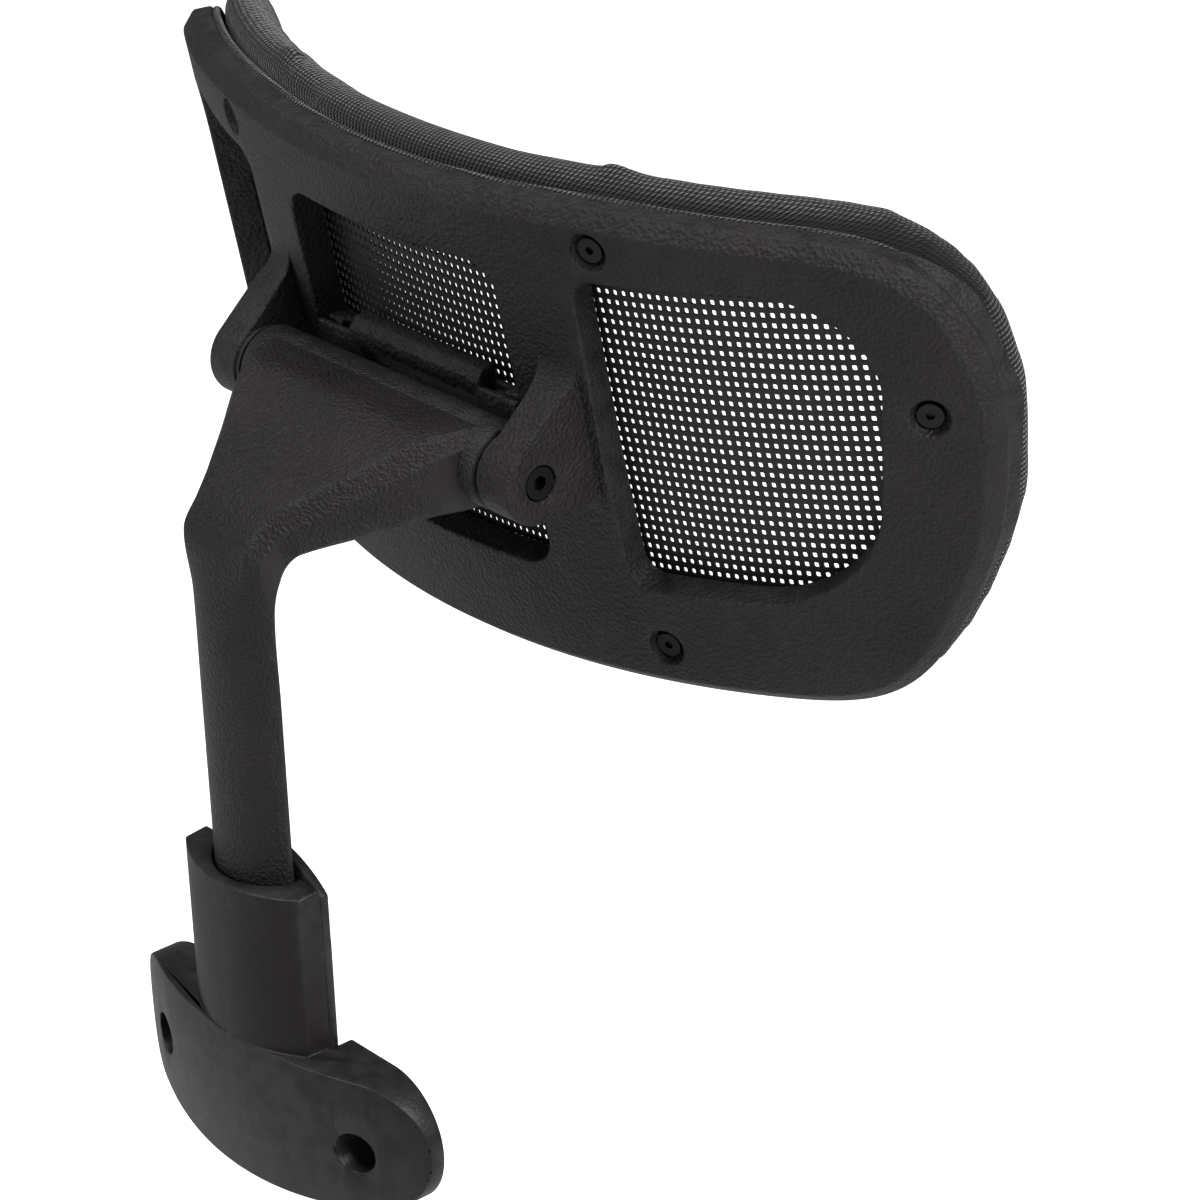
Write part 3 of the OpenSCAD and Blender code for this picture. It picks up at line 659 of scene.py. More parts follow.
def soften(node: str, body: Body, slot: Slot, finishes: Finishes, width: float = 0.0005) -> bpy.types.Object:
    """Stands a copy with rounded edges in for a crisp CAD node.

    Args:
        node: CAD node that the copy replaces.
        body: Body that it rides on.
        slot: Finish.
        finishes: The materials.
        width: Radius of the rounded edges.

    Returns:
        The new piece.
    """
    piece = bpy.data.objects.new(f"{node}_moulding", frame["nodes"][node].data.copy())
    bpy.context.scene.collection.objects.link(piece)
    work = bmesh.new()
    work.from_mesh(piece.data)
    bmesh.ops.remove_doubles(work, verts=work.verts, dist=1e-6)
    bmesh.ops.dissolve_limit(work, angle_limit=math.radians(0.3), verts=work.verts, edges=work.edges)
    work.to_mesh(piece.data)
    work.free()
    bevel = piece.modifiers.new("round", "BEVEL")
    bevel.width = width
    bevel.segments = 2
    bevel.limit_method = "ANGLE"
    bevel.angle_limit = math.radians(35.0)
    bevel.use_clamp_overlap = False
    bevel.miter_outer = "MITER_ARC"
    apply_modifiers(piece)
    shade(piece, 40.0)
    finishes.dress(piece, slot)
    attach(piece, body.value)
    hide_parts(node)
    LOG.info("%s stands for %s", piece.name, node)
    return piece


def lathe(
    work: bmesh.types.BMesh, profile: list[Point2], place: Callable[[float, float, float], Vector]
) -> None:
    """Turns a closed profile of (along, radius) around an axis and adds it to a mesh.

    Args:
        work: The mesh to add to.
        profile: Closed outline; a radius of 0 makes a pole.
        place: Turns distance along the axis and the two cross directions into a point.
    """
    turns = 96
    rings = []
    for along, radius in profile:
        ring = []
        for k in range(turns):
            a = 2 * math.pi * k / turns
            ring.append(work.verts.new(place(along, radius * math.cos(a), radius * math.sin(a))))
        rings.append(ring)
    for first, second in zip(rings, rings[1:] + rings[:1]):
        ring_faces(work, first, second)


def curve_through(stations: list[list[Vector]], steps: int) -> list[list[Vector]]:
    """Rings on smooth curves through the matching points of several rings.

    Args:
        stations: Rings of equal length.
        steps: Rings made per span.

    Returns:
        The denser list of rings, with the first and last station kept.
    """
    rings = []
    last = len(stations) - 1
    for i in range(last):
        before, after = stations[max(i - 1, 0)], stations[min(i + 2, last)]
        for k in range(steps):
            f = k / steps
            ring = []
            for a, b, c, d in zip(before, stations[i], stations[i + 1], after):
                span = (c - b).length
                lead = (c - a) * (span / max((c - b).length + (b - a).length, 1e-9))
                trail = (d - b) * (span / max((d - c).length + (c - b).length, 1e-9))
                ring.append(hermite(b, c, lead, trail, f))
            rings.append(ring)
    rings.append(stations[last])
    return rings


def hermite(start: Vector, end: Vector, lead: Vector, trail: Vector, f: float) -> Vector:
    """A point on the cubic between two points with given end tangents."""
    g, h = f * f, f * f * f
    return start * (2 * h - 3 * g + 1) + lead * (h - 2 * g + f) + end * (3 * g - 2 * h) + trail * (h - g)


def subtract(piece: bpy.types.Object, cutter: bpy.types.Object) -> None:
    """Cuts one piece by another and removes the cutter."""
    cut = piece.modifiers.new("cut", "BOOLEAN")
    cut.operation = "DIFFERENCE"
    cut.solver = "EXACT"
    cut.object = cutter
    apply_modifiers(piece)
    bpy.data.objects.remove(cutter, do_unlink=True)


def gather(piece: bpy.types.Object, extra: bpy.types.Object) -> None:
    """Adds one object's mesh to another's and removes the first object."""
    work = bmesh.new()
    work.from_mesh(piece.data)
    work.from_mesh(extra.data)
    work.to_mesh(piece.data)
    work.free()
    bpy.data.objects.remove(extra, do_unlink=True)


# ---------------------------------------------------------------- headrest


@dataclass
class HeadShape:
    """Outlines and curved layers of the headrest in millimetres, in its own leaning frame."""

    pivot: tuple[float, float, float] = (0.0, -35.0, 150.0)
    lean: float = 10.8
    half_width: float = 132.0
    height: float = 115.0
    radius: float = 200.0
    face_offset: float = 7.5
    rim_depth: float = 7.4
    floor: float = 3.2
    web_in: float = 34.5
    web_out: float = 54.5
    pad_low: float = 9.4
    pad_high: float = 23.6
    pad_width: float = 16.0
    pad_bottom_width: float = 13.0
    side_arcs: tuple[tuple[float, float, float], ...] = (
        (28.0, 0.26, 25.0), (23.0, 0.39, 23.0), (26.0, 0.6, 23.0), (31.5, 0.765, 20.5),
    )
    bottom_arc_inset: float = 33.0
    bottom_arc_r: float = 16.0
    top_flat_half: float = 60.0
    top_arc_r: float = 0.5
    ease_reach: float = 8.0
    ease_grow: float = 0.8
    window_top_r: float = 20.0
    window_top_inset: float = 20.0
    window_bottom_r: float = 24.0
    window_bottom_inset: float = 28.0
    opening_rise: float = 25.0
    opening_drop: float = 15.5
    centre_corner_r: float = 7.5
    inner_arc_r: float = 5.0
    upper_arc_inset: float = 41.0
    upper_arc_r: float = 22.0
    lower_arc_inset: float = 50.0
    lower_arc_r: float = 28.0

    @property
    def top(self) -> float:
        """Height of the top edge above the tilt axis, measured along the shell."""
        return self.height / 2 - 0.5

    @property
    def bottom(self) -> float:
        """Height of the bottom edge above the tilt axis, measured along the shell."""
        return self.top - self.height

    @property
    def centre_y(self) -> float:
        """Place of the axis that the shell is curved around."""
        return -(self.face_offset + self.radius)

    def to_frame(self, x: float, y: float, z: float) -> Vector:
        """Turns a point of the headrest's own frame into the part's frame, in metres."""
        a = math.radians(self.lean)
        return Vector((
            (self.pivot[0] + x) * MM,
            (self.pivot[1] + y * math.cos(a) + z * math.sin(a)) * MM,
            (self.pivot[2] - y * math.sin(a) + z * math.cos(a)) * MM,
        ))

    def on_layer(self, x: float, t: float, depth: float) -> Vector:
        """The point at a depth square in front of x and height t on the rear face, in the part's frame."""
        reach = self.radius - depth
        across = x * reach / self.radius
        return self.to_frame(across, self.centre_y + math.sqrt(reach * reach - across * across), t)

    def from_frame(self, point: Vector) -> tuple[float, float, float]:
        """Turns a point of the part's frame back into x, height and depth."""
        a = math.radians(self.lean)
        y, z = point.y / MM - self.pivot[1], point.z / MM - self.pivot[2]
        own_y, own_z = y * math.cos(a) - z * math.sin(a), y * math.sin(a) + z * math.cos(a)
        reach = math.hypot(point.x / MM, own_y - self.centre_y)
        return point.x / MM * self.radius / reach, own_z, self.radius - reach

    def outline(self, d: float = 0.0, count: int = 440) -> Loop2:
        """Outline of the shell, shrunk by d, counter-clockwise from the right."""
        points: Loop2 = []
        for side in (-1, 1):
            for inset_x, share, r in self.side_arcs:
                centre = (side * (self.half_width - inset_x), self.top - share * self.height)
                points += arc(centre, r - d, 0, 360, 180)
            lower = (side * (self.half_width - self.bottom_arc_inset), self.bottom + self.bottom_arc_r)
            points += arc(lower, self.bottom_arc_r - d, 0, 360, 120)
            upper = (side * self.top_flat_half, self.top - d - self.top_arc_r)
            points += arc(upper, self.top_arc_r, 0, 360, 24)
        return from_right(eased(respace(convex_hull(points), count), self.ease_reach, self.ease_grow))

    def window(self, d: float = 0.0, count: int = 440) -> Loop2:
        """Window inside the padded border, enlarged by d, counter-clockwise from the right."""
        half = self.half_width - self.pad_width
        points: Loop2 = []
        for side in (-1, 1):
            upper = (side * (half - self.window_top_inset), self.top - self.pad_width - self.window_top_r)
            lower_z = self.bottom + self.pad_bottom_width + self.window_bottom_r
            lower = (side * (half - self.window_bottom_inset), lower_z)
            points += arc(upper, self.window_top_r + d, 0, 360, 120)
            points += arc(lower, self.window_bottom_r + d, 0, 360, 120)
        return from_right(respace(convex_hull(points), count))

    def centre_opening(self) -> Loop2:
        """Opening between the two webs."""
        half, r = self.web_in, self.centre_corner_r
        low, high = self.bottom + self.opening_rise, self.top - self.opening_drop
        points: Loop2 = []
        for side in (-1, 1):
            for z in (low + r, high - r):
                points += arc((side * (half - r), z), r, 0, 360, 96)
        return respace(convex_hull(points), 220)

    def side_opening(self, side: int) -> Loop2:
        """Opening beyond one web."""
        low, high = self.bottom + self.opening_rise, self.top - self.opening_drop
        inner, upper, lower = self.inner_arc_r, self.upper_arc_r, self.lower_arc_r
        points: Loop2 = []
        for z in (low + inner, high - inner):
            points += arc((side * (self.web_out + inner), z), inner, 0, 360, 96)
        points += arc((side * (self.half_width - self.upper_arc_inset), high - upper), upper, 0, 360, 160)
        points += arc((side * (self.half_width - self.lower_arc_inset), low + lower), lower, 0, 360, 160)
        return respace(convex_hull(points), 200)


def eased(loop: Loop2, reach: float, grow: float) -> Loop2:
    """Evens out the curvature of a closed loop.

    Args:
        loop: Evenly spaced counter-clockwise points.
        reach: Distance over which a point is averaged with its neighbours.
        grow: Distance moved outward again, because averaging draws a convex loop in.

    Returns:
        The eased loop.
    """
    step = math.dist(loop[0], loop[1])
    span = int(3 * reach / step)
    weights = [math.exp(-0.5 * (k * step / reach) ** 2) for k in range(-span, span + 1)]
    total = sum(weights)
    count = len(loop)
    result = []
    for i in range(count):
        x = sum(w * loop[(i + k) % count][0] for k, w in zip(range(-span, span + 1), weights)) / total
        y = sum(w * loop[(i + k) % count][1] for k, w in zip(range(-span, span + 1), weights)) / total
        result.append((x, y))
    return inset(result, -grow)


def from_right(loop: Loop2) -> Loop2:
    """Turns a counter-clockwise loop so that it starts where it crosses the X axis on the right."""
    start = min((i for i in range(len(loop)) if loop[i][0] > 0), key=lambda i: abs(loop[i][1]))
    return loop[start:] + loop[:start]


@dataclass
class RearShell:
    """The curved shell with its rim, lips, screw dishes and hinge ears."""

    shape: HeadShape
    chamfer: float = 3.4
    chamfer_depth: float = 3.0
    rim_wall: float = 2.6
    lip: float = 1.2
    lip_round: float = 0.7
    dish_r: float = 4.2
    dish_depth: float = 2.4
    ear_in: float = 41.2
    ear_out: float = 51.6
    ear_relief: float = 1.2
    hub_r: float = 9.3
    ear_rise: float = 31.0
    ear_under: float = 9.0
    recess_r: float = 4.0
    recess_depth: float = 4.6
    bush_r: float = 3.55

    def build(self, finishes: Finishes) -> bpy.types.Object:
        """Makes the shell.

        Args:
            finishes: The materials.

        Returns:
            The shell, which stands for the CAD node.
        """
        shell = self._plate()
        for side in (-1, 1):
            gather(shell, self._ear(side))
        shade(shell, 36.0)
        finishes.dress(shell, Slot.SHELL)
        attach(shell, Body.HEADREST.value)
        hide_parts("rear_shell")
        LOG.info("%s: rim, three openings, two ears", shell.name)
        return shell

    def _plate(self) -> bpy.types.Object:
        """Makes the curved plate with its rim and lips."""
        s = self.shape
        rim = [
            (self.chamfer + 0.5, 0.0), (self.chamfer + 0.12, 0.08), (self.chamfer - 0.35, 0.32),
            (0.45, self.chamfer_depth - 0.3), (0.12, self.chamfer_depth + 0.1),
            (0.0, self.chamfer_depth + 0.6),
            (0.0, s.rim_depth - 0.4), (0.3, s.rim_depth), (self.rim_wall - 0.3, s.rim_depth),
            (self.rim_wall, s.rim_depth - 0.4), (self.rim_wall, s.floor),
        ]
        lip = rounded(self.lip_round, 3) + [
            (0.0, s.rim_depth - 0.3), (0.3, s.rim_depth), (self.lip - 0.3, s.rim_depth),
            (self.lip, s.rim_depth - 0.3), (self.lip, s.floor),
        ]
        dish = rounded(0.5, 3) + [
            (-0.9, self.dish_depth - 0.3), (-1.2, self.dish_depth), (-2.5, self.dish_depth), (-2.6, s.floor),
        ]
        holes = [(s.centre_opening(), lip), (s.side_opening(1), lip), (s.side_opening(-1), lip)]
        for side in (-1, 1):
            for angle, t in self._screw_spots():
                across = math.cos(math.radians(angle))
                x = side * s.radius * math.sin(math.radians(angle))
                ring = [(x + p * across, t + q) for p, q in arc((0.0, 0.0), self.dish_r, 0, 360 - 7.5, 47)]
                holes.append((ring, dish))
        plate = Plate(s.outline(), rim, holes, cut_step=3.5)
        return plate.build("rear_shell_moulding", s.on_layer)

    def _screw_spots(self) -> list[Point2]:
        """Angle along the curve and height of the screws of one side."""
        return [(17.5, self.shape.top - 8.2), (17.5, self.shape.bottom + 10.5), (37.0, 13.0)]

    def _ear(self, side: int) -> bpy.types.Object:
        """Makes one hinge ear that flares into the web."""
        middle = (self.ear_in + self.ear_out) / 2
        face = self._face_y(middle)
        top_angle = 90.0 - self.ear_rise
        loop = arc((0.0, 0.0), self.hub_r, -90.0 - self.ear_under, top_angle, 60)
        loop += self._root(face, self.ear_rise, self.hub_r, 7.0, 1)
        loop += list(reversed(self._root(face, -self.ear_under, self.hub_r, 4.0, -1)))
        thick = self.ear_out - self.ear_in
        edge = rounded(0.7, 3) + [(0.0, thick - self.ear_relief - 0.3), (0.3, thick - self.ear_relief)]
        bore = rounded(0.35, 2) + [
            (0.0, self.recess_depth), (self.bush_r - self.recess_r, self.recess_depth),
            (self.bush_r - self.recess_r, thick - self.ear_relief),
        ]
        recess = arc((0.0, 0.0), self.recess_r, 0, 360 - 7.5, 47)

        def place(y: float, z: float, depth: float) -> Vector:
            """Stands the ear up and lets its root follow the curve of the shell."""
            x = self.ear_out - depth
            pull = min(max((-y - 6.0) / 5.0, 0.0), 1.0)
            return self.shape.to_frame(side * x, y + pull * (self._face_y(x) - face), z)

        ear = Plate(respace(loop, 260), edge, [(recess, bore)]).build("ear", place)
        work = bmesh.new()
        hub = [(0.0, self.bush_r), (0.0, self.hub_r - 0.5), (self.ear_relief + 0.2, self.hub_r - 0.5),
               (self.ear_relief + 0.2, self.bush_r)]
        lathe(work, hub, lambda a, p, q: self.shape.to_frame(side * (self.ear_in + a), p, q))
        gather(ear, finish_mesh("hub", work))
        return ear

    def _face_y(self, x: float) -> float:
        """Place of the shell's rear face at a distance from its middle."""
        return self.shape.centre_y + math.sqrt(self.shape.radius ** 2 - x * x)

    def _root(self, face: float, slope: float, hub: float, fillet: float, way: int) -> Loop2:
        """Points from the straight flank of the ear through a fillet into the shell.

        Args:
            face: Place of the shell's face.
            slope: Rise of the flank towards the shell, degrees.
            hub: Radius of the round end.
            fillet: Radius of the fillet.
            way: 1 for the upper flank, -1 for the lower one.

        Returns:
            Points that run away from the hub.
        """
        a = math.radians(slope * way)
        centre_y = face + fillet
        flank = (hub - (centre_y) * math.sin(a)) / math.cos(a)
        centre_z = flank + fillet / math.cos(a)
        sunk = 2.4
        points = []
        for i in range(9):
            b = -math.pi / 2 - a - (math.pi / 2 - a) * i / 8
            points.append((centre_y + fillet * math.cos(b), way * (centre_z + fillet * math.sin(b))))
        points.append((face - sunk, way * (centre_z + 0.4)))
        return points


@dataclass
class MeshPanel:
    """The stretched mesh: a lattice of rounded holes where it is seen, and a plain selvedge in the frame."""

    shape: HeadShape
    inset: float = 3.6
    depth: float = 8.6
    thickness: float = 0.5
    pitch: Point2 = (2.0, 2.4)
    hole: Point2 = (1.0, 1.36)
    corner: float = 0.22
    low: float = -36.5
    high: float = 45.0
    half: float = 117.0
    area_share: float = 0.93
    selvedge_step: float = 6.0
    selvedge_shift: float = 0.37
    longest_edge: float = 3.0

    def build(self, finishes: Finishes) -> bpy.types.Object:
        """Makes the panel.

        Args:
            finishes: The materials.

        Returns:
            The panel, which stands for the CAD node.
        """
        loop = self.shape.outline(self.inset, 300)
        work = bmesh.new()
        grid, cells = self._lattice(work)
        rim = [work.verts.new((x, y, self.depth)) for x, y in loop]
        edges = [work.edges.new((a, b)) for a, b in zip(rim, rim[1:] + rim[:1])]
        edges += [edge for edge in work.edges if self._on_border(edge, grid)]
        bmesh.ops.triangle_fill(work, edges=list(dict.fromkeys(edges)), use_beauty=True)
        self._cut_selvedge(work)
        for vert in work.verts:
            vert.co = self.shape.on_layer(vert.co.x, vert.co.y, self.depth)
        panel = finish_mesh("mesh_weave", work, 80.0)
        thick = panel.modifiers.new("yarn", "SOLIDIFY")
        thick.thickness = self.thickness * MM
        thick.offset = 0.0
        apply_modifiers(panel)
        shade(panel, 50.0)
        finishes.dress(panel, Slot.MESH)
        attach(panel, Body.HEADREST.value)
        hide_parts("mesh_panel")
        width = self._arc_width(loop)
        height = (max(y for _, y in loop) - min(y for _, y in loop)) * MM
        LOG.info("%s: %d holes, flat %.3f by %.3f m", panel.name, cells, width, height)
        return panel

    def _arc_width(self, loop: Loop2) -> float:
        """Width of the flat cut, along the curve, in metres."""
        half_turn = math.asin(max(x for x, _ in loop) / self.shape.radius)
        return 2 * (self.shape.radius - self.depth) * half_turn * MM

    def _lattice(self, work: bmesh.types.BMesh) -> tuple[set[bmesh.types.BMVert], int]:
        """Adds every cell that is seen through an opening.

        Args:
            work: The mesh to add to.

        Returns:
            The corner points of the cells and the number of holes.
        """
        corners: dict[tuple[int, int], bmesh.types.BMVert] = {}
        inside = self.shape.outline(self.inset + 2.5, 300)
        count = 0
        columns = int(self.half / self.pitch[0])
        for i in range(-columns, columns):
            for j in range(int(self.low / self.pitch[1]), int(self.high / self.pitch[1])):
                keys = [(i, j), (i + 1, j), (i + 1, j + 1), (i, j + 1)]
                if not all(within((a * self.pitch[0], b * self.pitch[1]), inside) for a, b in keys):
                    continue
                for key in keys:
                    if key not in corners:
                        spot = (key[0] * self.pitch[0], key[1] * self.pitch[1], self.depth)
                        corners[key] = work.verts.new(spot)
                self._cell(work, [corners[key] for key in keys])
                count += 1
        return set(corners.values()), count

    def _cell(self, work: bmesh.types.BMesh, corner: list[bmesh.types.BMVert]) -> None:
        """Adds one cell with its eight-sided hole."""
        cx = (corner[0].co.x + corner[2].co.x) / 2
        cy = (corner[0].co.y + corner[2].co.y) / 2
        a, b, c = self.hole[0] / 2, self.hole[1] / 2, self.corner
        spots = [
            (-a, -b + c), (-a + c, -b), (a - c, -b), (a, -b + c),
            (a, b - c), (a - c, b), (-a + c, b), (-a, b - c),
        ]
        ring = [work.verts.new((cx + x, cy + y, self.depth)) for x, y in spots]
        for k in range(4):
            work.faces.new((corner[k], ring[2 * k + 1], ring[2 * k]))
            far = corner[(k + 1) % 4]
            work.faces.new((corner[k], far, ring[(2 * k + 2) % 8], ring[2 * k + 1]))

    def _on_border(self, edge: bmesh.types.BMEdge, grid: set[bmesh.types.BMVert]) -> bool:
        """Whether an edge lies on the outside of the lattice."""
        return len(edge.link_faces) == 1 and edge.verts[0] in grid and edge.verts[1] in grid

    def _cut_selvedge(self, work: bmesh.types.BMesh) -> None:
        """Cuts the plain selvedge so that it bends as smoothly as the lattice."""
        for i in range(-20, 21):
            plain = [
                face for face in work.faces
                if max(edge.calc_length() for edge in face.edges) > self.longest_edge
            ]
            edges = list({edge for face in plain for edge in face.edges})
            verts = list({vert for face in plain for vert in face.verts})
            spot = (i * self.selvedge_step + self.selvedge_shift, 0.0, 0.0)
            geometry = verts + edges + plain
            bmesh.ops.bisect_plane(work, geom=geometry, plane_co=spot, plane_no=(1.0, 0.0, 0.0), dist=1e-6)


def within(point: Point2, loop: Loop2) -> bool:
    """Whether a point lies inside a convex counter-clockwise loop."""
    return all(cross(a, b, point) >= 0 for a, b in zip(loop, loop[1:] + loop[:1]))


@dataclass
class PaddedBorder:
    """The knit cover over its foam ring, swollen by a cloth simulation, and the piping under it."""

    shape: HeadShape
    slack: float = -3.6
    voxel: float = 4.0
    pressure: float = 4.0
    cap: float = 2.2
    frames: int = 20
    stretch_stiffness: float = 25.0
    bend_stiffness: float = 2.0
    evening: int = 8
    proud: float = 1.2
    count: int = 200

    def build(self, finishes: Finishes) -> bpy.types.Object:
        """Makes the padded border.

        Args:
            finishes: The materials.

        Returns:
            The border, which stands for the foam and the cover.
        """
        border = self._ring()
        self._swell(border)
        smooth = border.modifiers.new("smooth", "SUBSURF")
        smooth.levels = smooth.render_levels = 1
        apply_modifiers(border)
        self._seat(border)
        self._lay_knit(border)
        shade(border, 180.0)
        finishes.dress(border, Slot.KNIT)
        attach(border, Body.HEADREST.value)
        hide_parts("foam_border", "fabric_cover")
        LOG.info("%s: %d faces", border.name, len(border.data.polygons))
        return border

    def build_piping(self, finishes: Finishes) -> bpy.types.Object:
        """Makes the sewn piping between the shell's rim and the border."""
        work = bmesh.new()
        path = self.shape.outline(1.15, 320)
        middle, radius, sides = 8.45, 0.92, 12
        rings = []
        for i, (x, y) in enumerate(path):
            a, b = path[i - 1], path[(i + 1) % len(path)]
            size = math.dist(a, b)
            out = ((b[1] - a[1]) / size, -(b[0] - a[0]) / size)
            ring = []
            for k in range(sides):
                turn = 2 * math.pi * k / sides
                off = radius * math.cos(turn)
                ring.append(work.verts.new(self.shape.on_layer(x + out[0] * off, y + out[1] * off,
                                                               middle + radius * math.sin(turn))))
            rings.append(ring)
        for first, second in zip(rings, rings[1:] + rings[:1]):
            ring_faces(work, first, second)
        piping = finish_mesh("cover_piping", work, 180.0)
        self._lay_knit(piping)
        finishes.dress(piping, Slot.KNIT)
        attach(piping, Body.HEADREST.value)
        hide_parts("edge_piping")
        LOG.info("%s sewn round the rim", piping.name)
        return piping

    def _ring(self) -> bpy.types.Object:
        """Makes the ring that the simulation swells; a negative slack stands it out past the shell."""
        s = self.shape
        outer, inner = s.outline(self.slack, self.count), s.window(-0.8, self.count)
        work = bmesh.new()
        rings = []
        low, high = s.pad_low + 0.5, s.pad_high - self.cap * 0.7
        for (ox, oy), (ix, iy) in zip(outer, inner):
            ring = []
            for u, h in self._section():
                spot = s.on_layer(ox + (ix - ox) * u, oy + (iy - oy) * u, low + (high - low) * h)
                ring.append(work.verts.new(spot))
            rings.append(ring)
        for first, second in zip(rings, rings[1:] + rings[:1]):
            ring_faces(work, first, second)
        return finish_mesh("knit_border", work, 180.0)

    def _section(self) -> list[Point2]:
        """Cross-section of the border: share of the width from outside, share of the height from the mesh."""
        points = []
        steps = 28
        for k in range(steps):
            a = 2 * math.pi * k / steps
            c, q = math.cos(a), math.sin(a)
            power, reach = (0.55, 0.58) if q > 0 else (0.3, 0.42)
            across = 0.5 - 0.5 * math.copysign(abs(c) ** power, c)
            points.append((across, 0.42 + math.copysign(abs(q) ** power, q) * reach))
        return points

    def _swell(self, border: bpy.types.Object) -> None:
        """Remeshes the ring, swells it as cloth under air pressure, caps how far it moves and evens it out."""
        remesh = border.modifiers.new("weave", "REMESH")
        remesh.mode = "VOXEL"
        remesh.voxel_size = self.voxel * MM
        apply_modifiers(border)
        rest = [vert.co.copy() for vert in border.data.vertices]
        cloth = border.modifiers.new("air", "CLOTH")
        cloth.settings.use_pressure = True
        cloth.settings.uniform_pressure_force = self.pressure
        cloth.settings.effector_weights.gravity = 0.0
        cloth.settings.tension_stiffness = cloth.settings.compression_stiffness = self.stretch_stiffness
        cloth.settings.bending_stiffness = self.bend_stiffness
        scene = bpy.context.scene
        for step in range(1, self.frames + 1):
            scene.frame_set(step)
        apply_modifiers(border)
        scene.frame_set(1)
        for vert, start in zip(border.data.vertices, rest):
            move = vert.co - start
            if move.length > self.cap * MM:
                vert.co = start + move.normalized() * self.cap * MM
        even = border.modifiers.new("even", "SMOOTH")
        even.factor, even.iterations = 0.5, self.evening
        apply_modifiers(border)

    def _seat(self, border: bpy.types.Object) -> None:
        """Keeps the border off the mesh and inside its proud limit."""
        s = self.shape
        for vert in border.data.vertices:
            x, t, depth = s.from_frame(vert.co)
            kept = min(max(depth, s.pad_low + 0.05), s.pad_high + self.proud)
            if kept != depth:
                vert.co = s.on_layer(x, t, kept)

    def _lay_knit(self, piece: bpy.types.Object) -> None:
        """Stores, at every face corner, how far along and across the border it lies, in millimetres."""
        s = self.shape
        edges = zip(s.outline(0.0, 720), s.window(0.0, 720))
        middle = [((a[0] + b[0]) / 2, (a[1] + b[1]) / 2) for a, b in edges]
        turns, lengths, reaches = [], [], []
        run = 0.0
        for i, p in enumerate(middle):
            turns.append(math.atan2(p[1], p[0]) % (2 * math.pi))
            lengths.append(run)
            reaches.append(math.hypot(*p))
            run += math.dist(p, middle[(i + 1) % len(middle)])
        first = turns.index(min(turns))
        order = [(first + k) % len(turns) for k in range(len(turns))]
        turns = [turns[k] for k in order]
        lengths = [(lengths[k] - lengths[first]) % run for k in order]
        reaches = [reaches[k] for k in order]
        half_high = (s.pad_low + s.pad_high) / 2
        spots = []
        for vert in piece.data.vertices:
            x, t, depth = s.from_frame(vert.co)
            angle = math.atan2(t, x) % (2 * math.pi)
            k = min(max(int(angle / (2 * math.pi) * len(turns)), 0), len(turns) - 1)
            while k > 0 and turns[k] > angle:
                k -= 1
            while k + 1 < len(turns) and turns[k + 1] <= angle:
                k += 1
            span = (turns[(k + 1) % len(turns)] - turns[k]) % (2 * math.pi) or 1.0
            share = ((angle - turns[k]) % (2 * math.pi)) / span
            ahead = lengths[k + 1] if k + 1 < len(turns) else run
            along = lengths[k] + (ahead - lengths[k]) * share
            out = math.hypot(x, t) - reaches[k]
            spots.append((along, math.atan2(out, depth - half_high) * 11.0))
        layer = piece.data.attributes.new(KNIT_PLACE, "FLOAT_VECTOR", "CORNER")
        full_turn = 2 * math.pi * 11.0
        for face in piece.data.polygons:
            start = spots[face.vertices[0]]
            for loop_index in face.loop_indices:
                along, across = spots[piece.data.loops[loop_index].vertex_index]
                along += run * round((start[0] - along) / run)
                across += full_turn * round((start[1] - across) / full_turn)
                layer.data[loop_index].vector = (along, across, 0.0)


@dataclass
class Headrest:
    """Everything that tilts on the arm."""

    shape: HeadShape

    def build(self, finishes: Finishes) -> None:
        """Makes the headrest's pieces."""
        RearShell(self.shape).build(finishes)
        MeshPanel(self.shape).build(finishes)
        border = PaddedBorder(self.shape)
        border.build(finishes)
        border.build_piping(finishes)
        soften("stop_bar", Body.HEADREST, Slot.SHELL, finishes, 0.0004)


# ---------------------------------------------------------------- arm


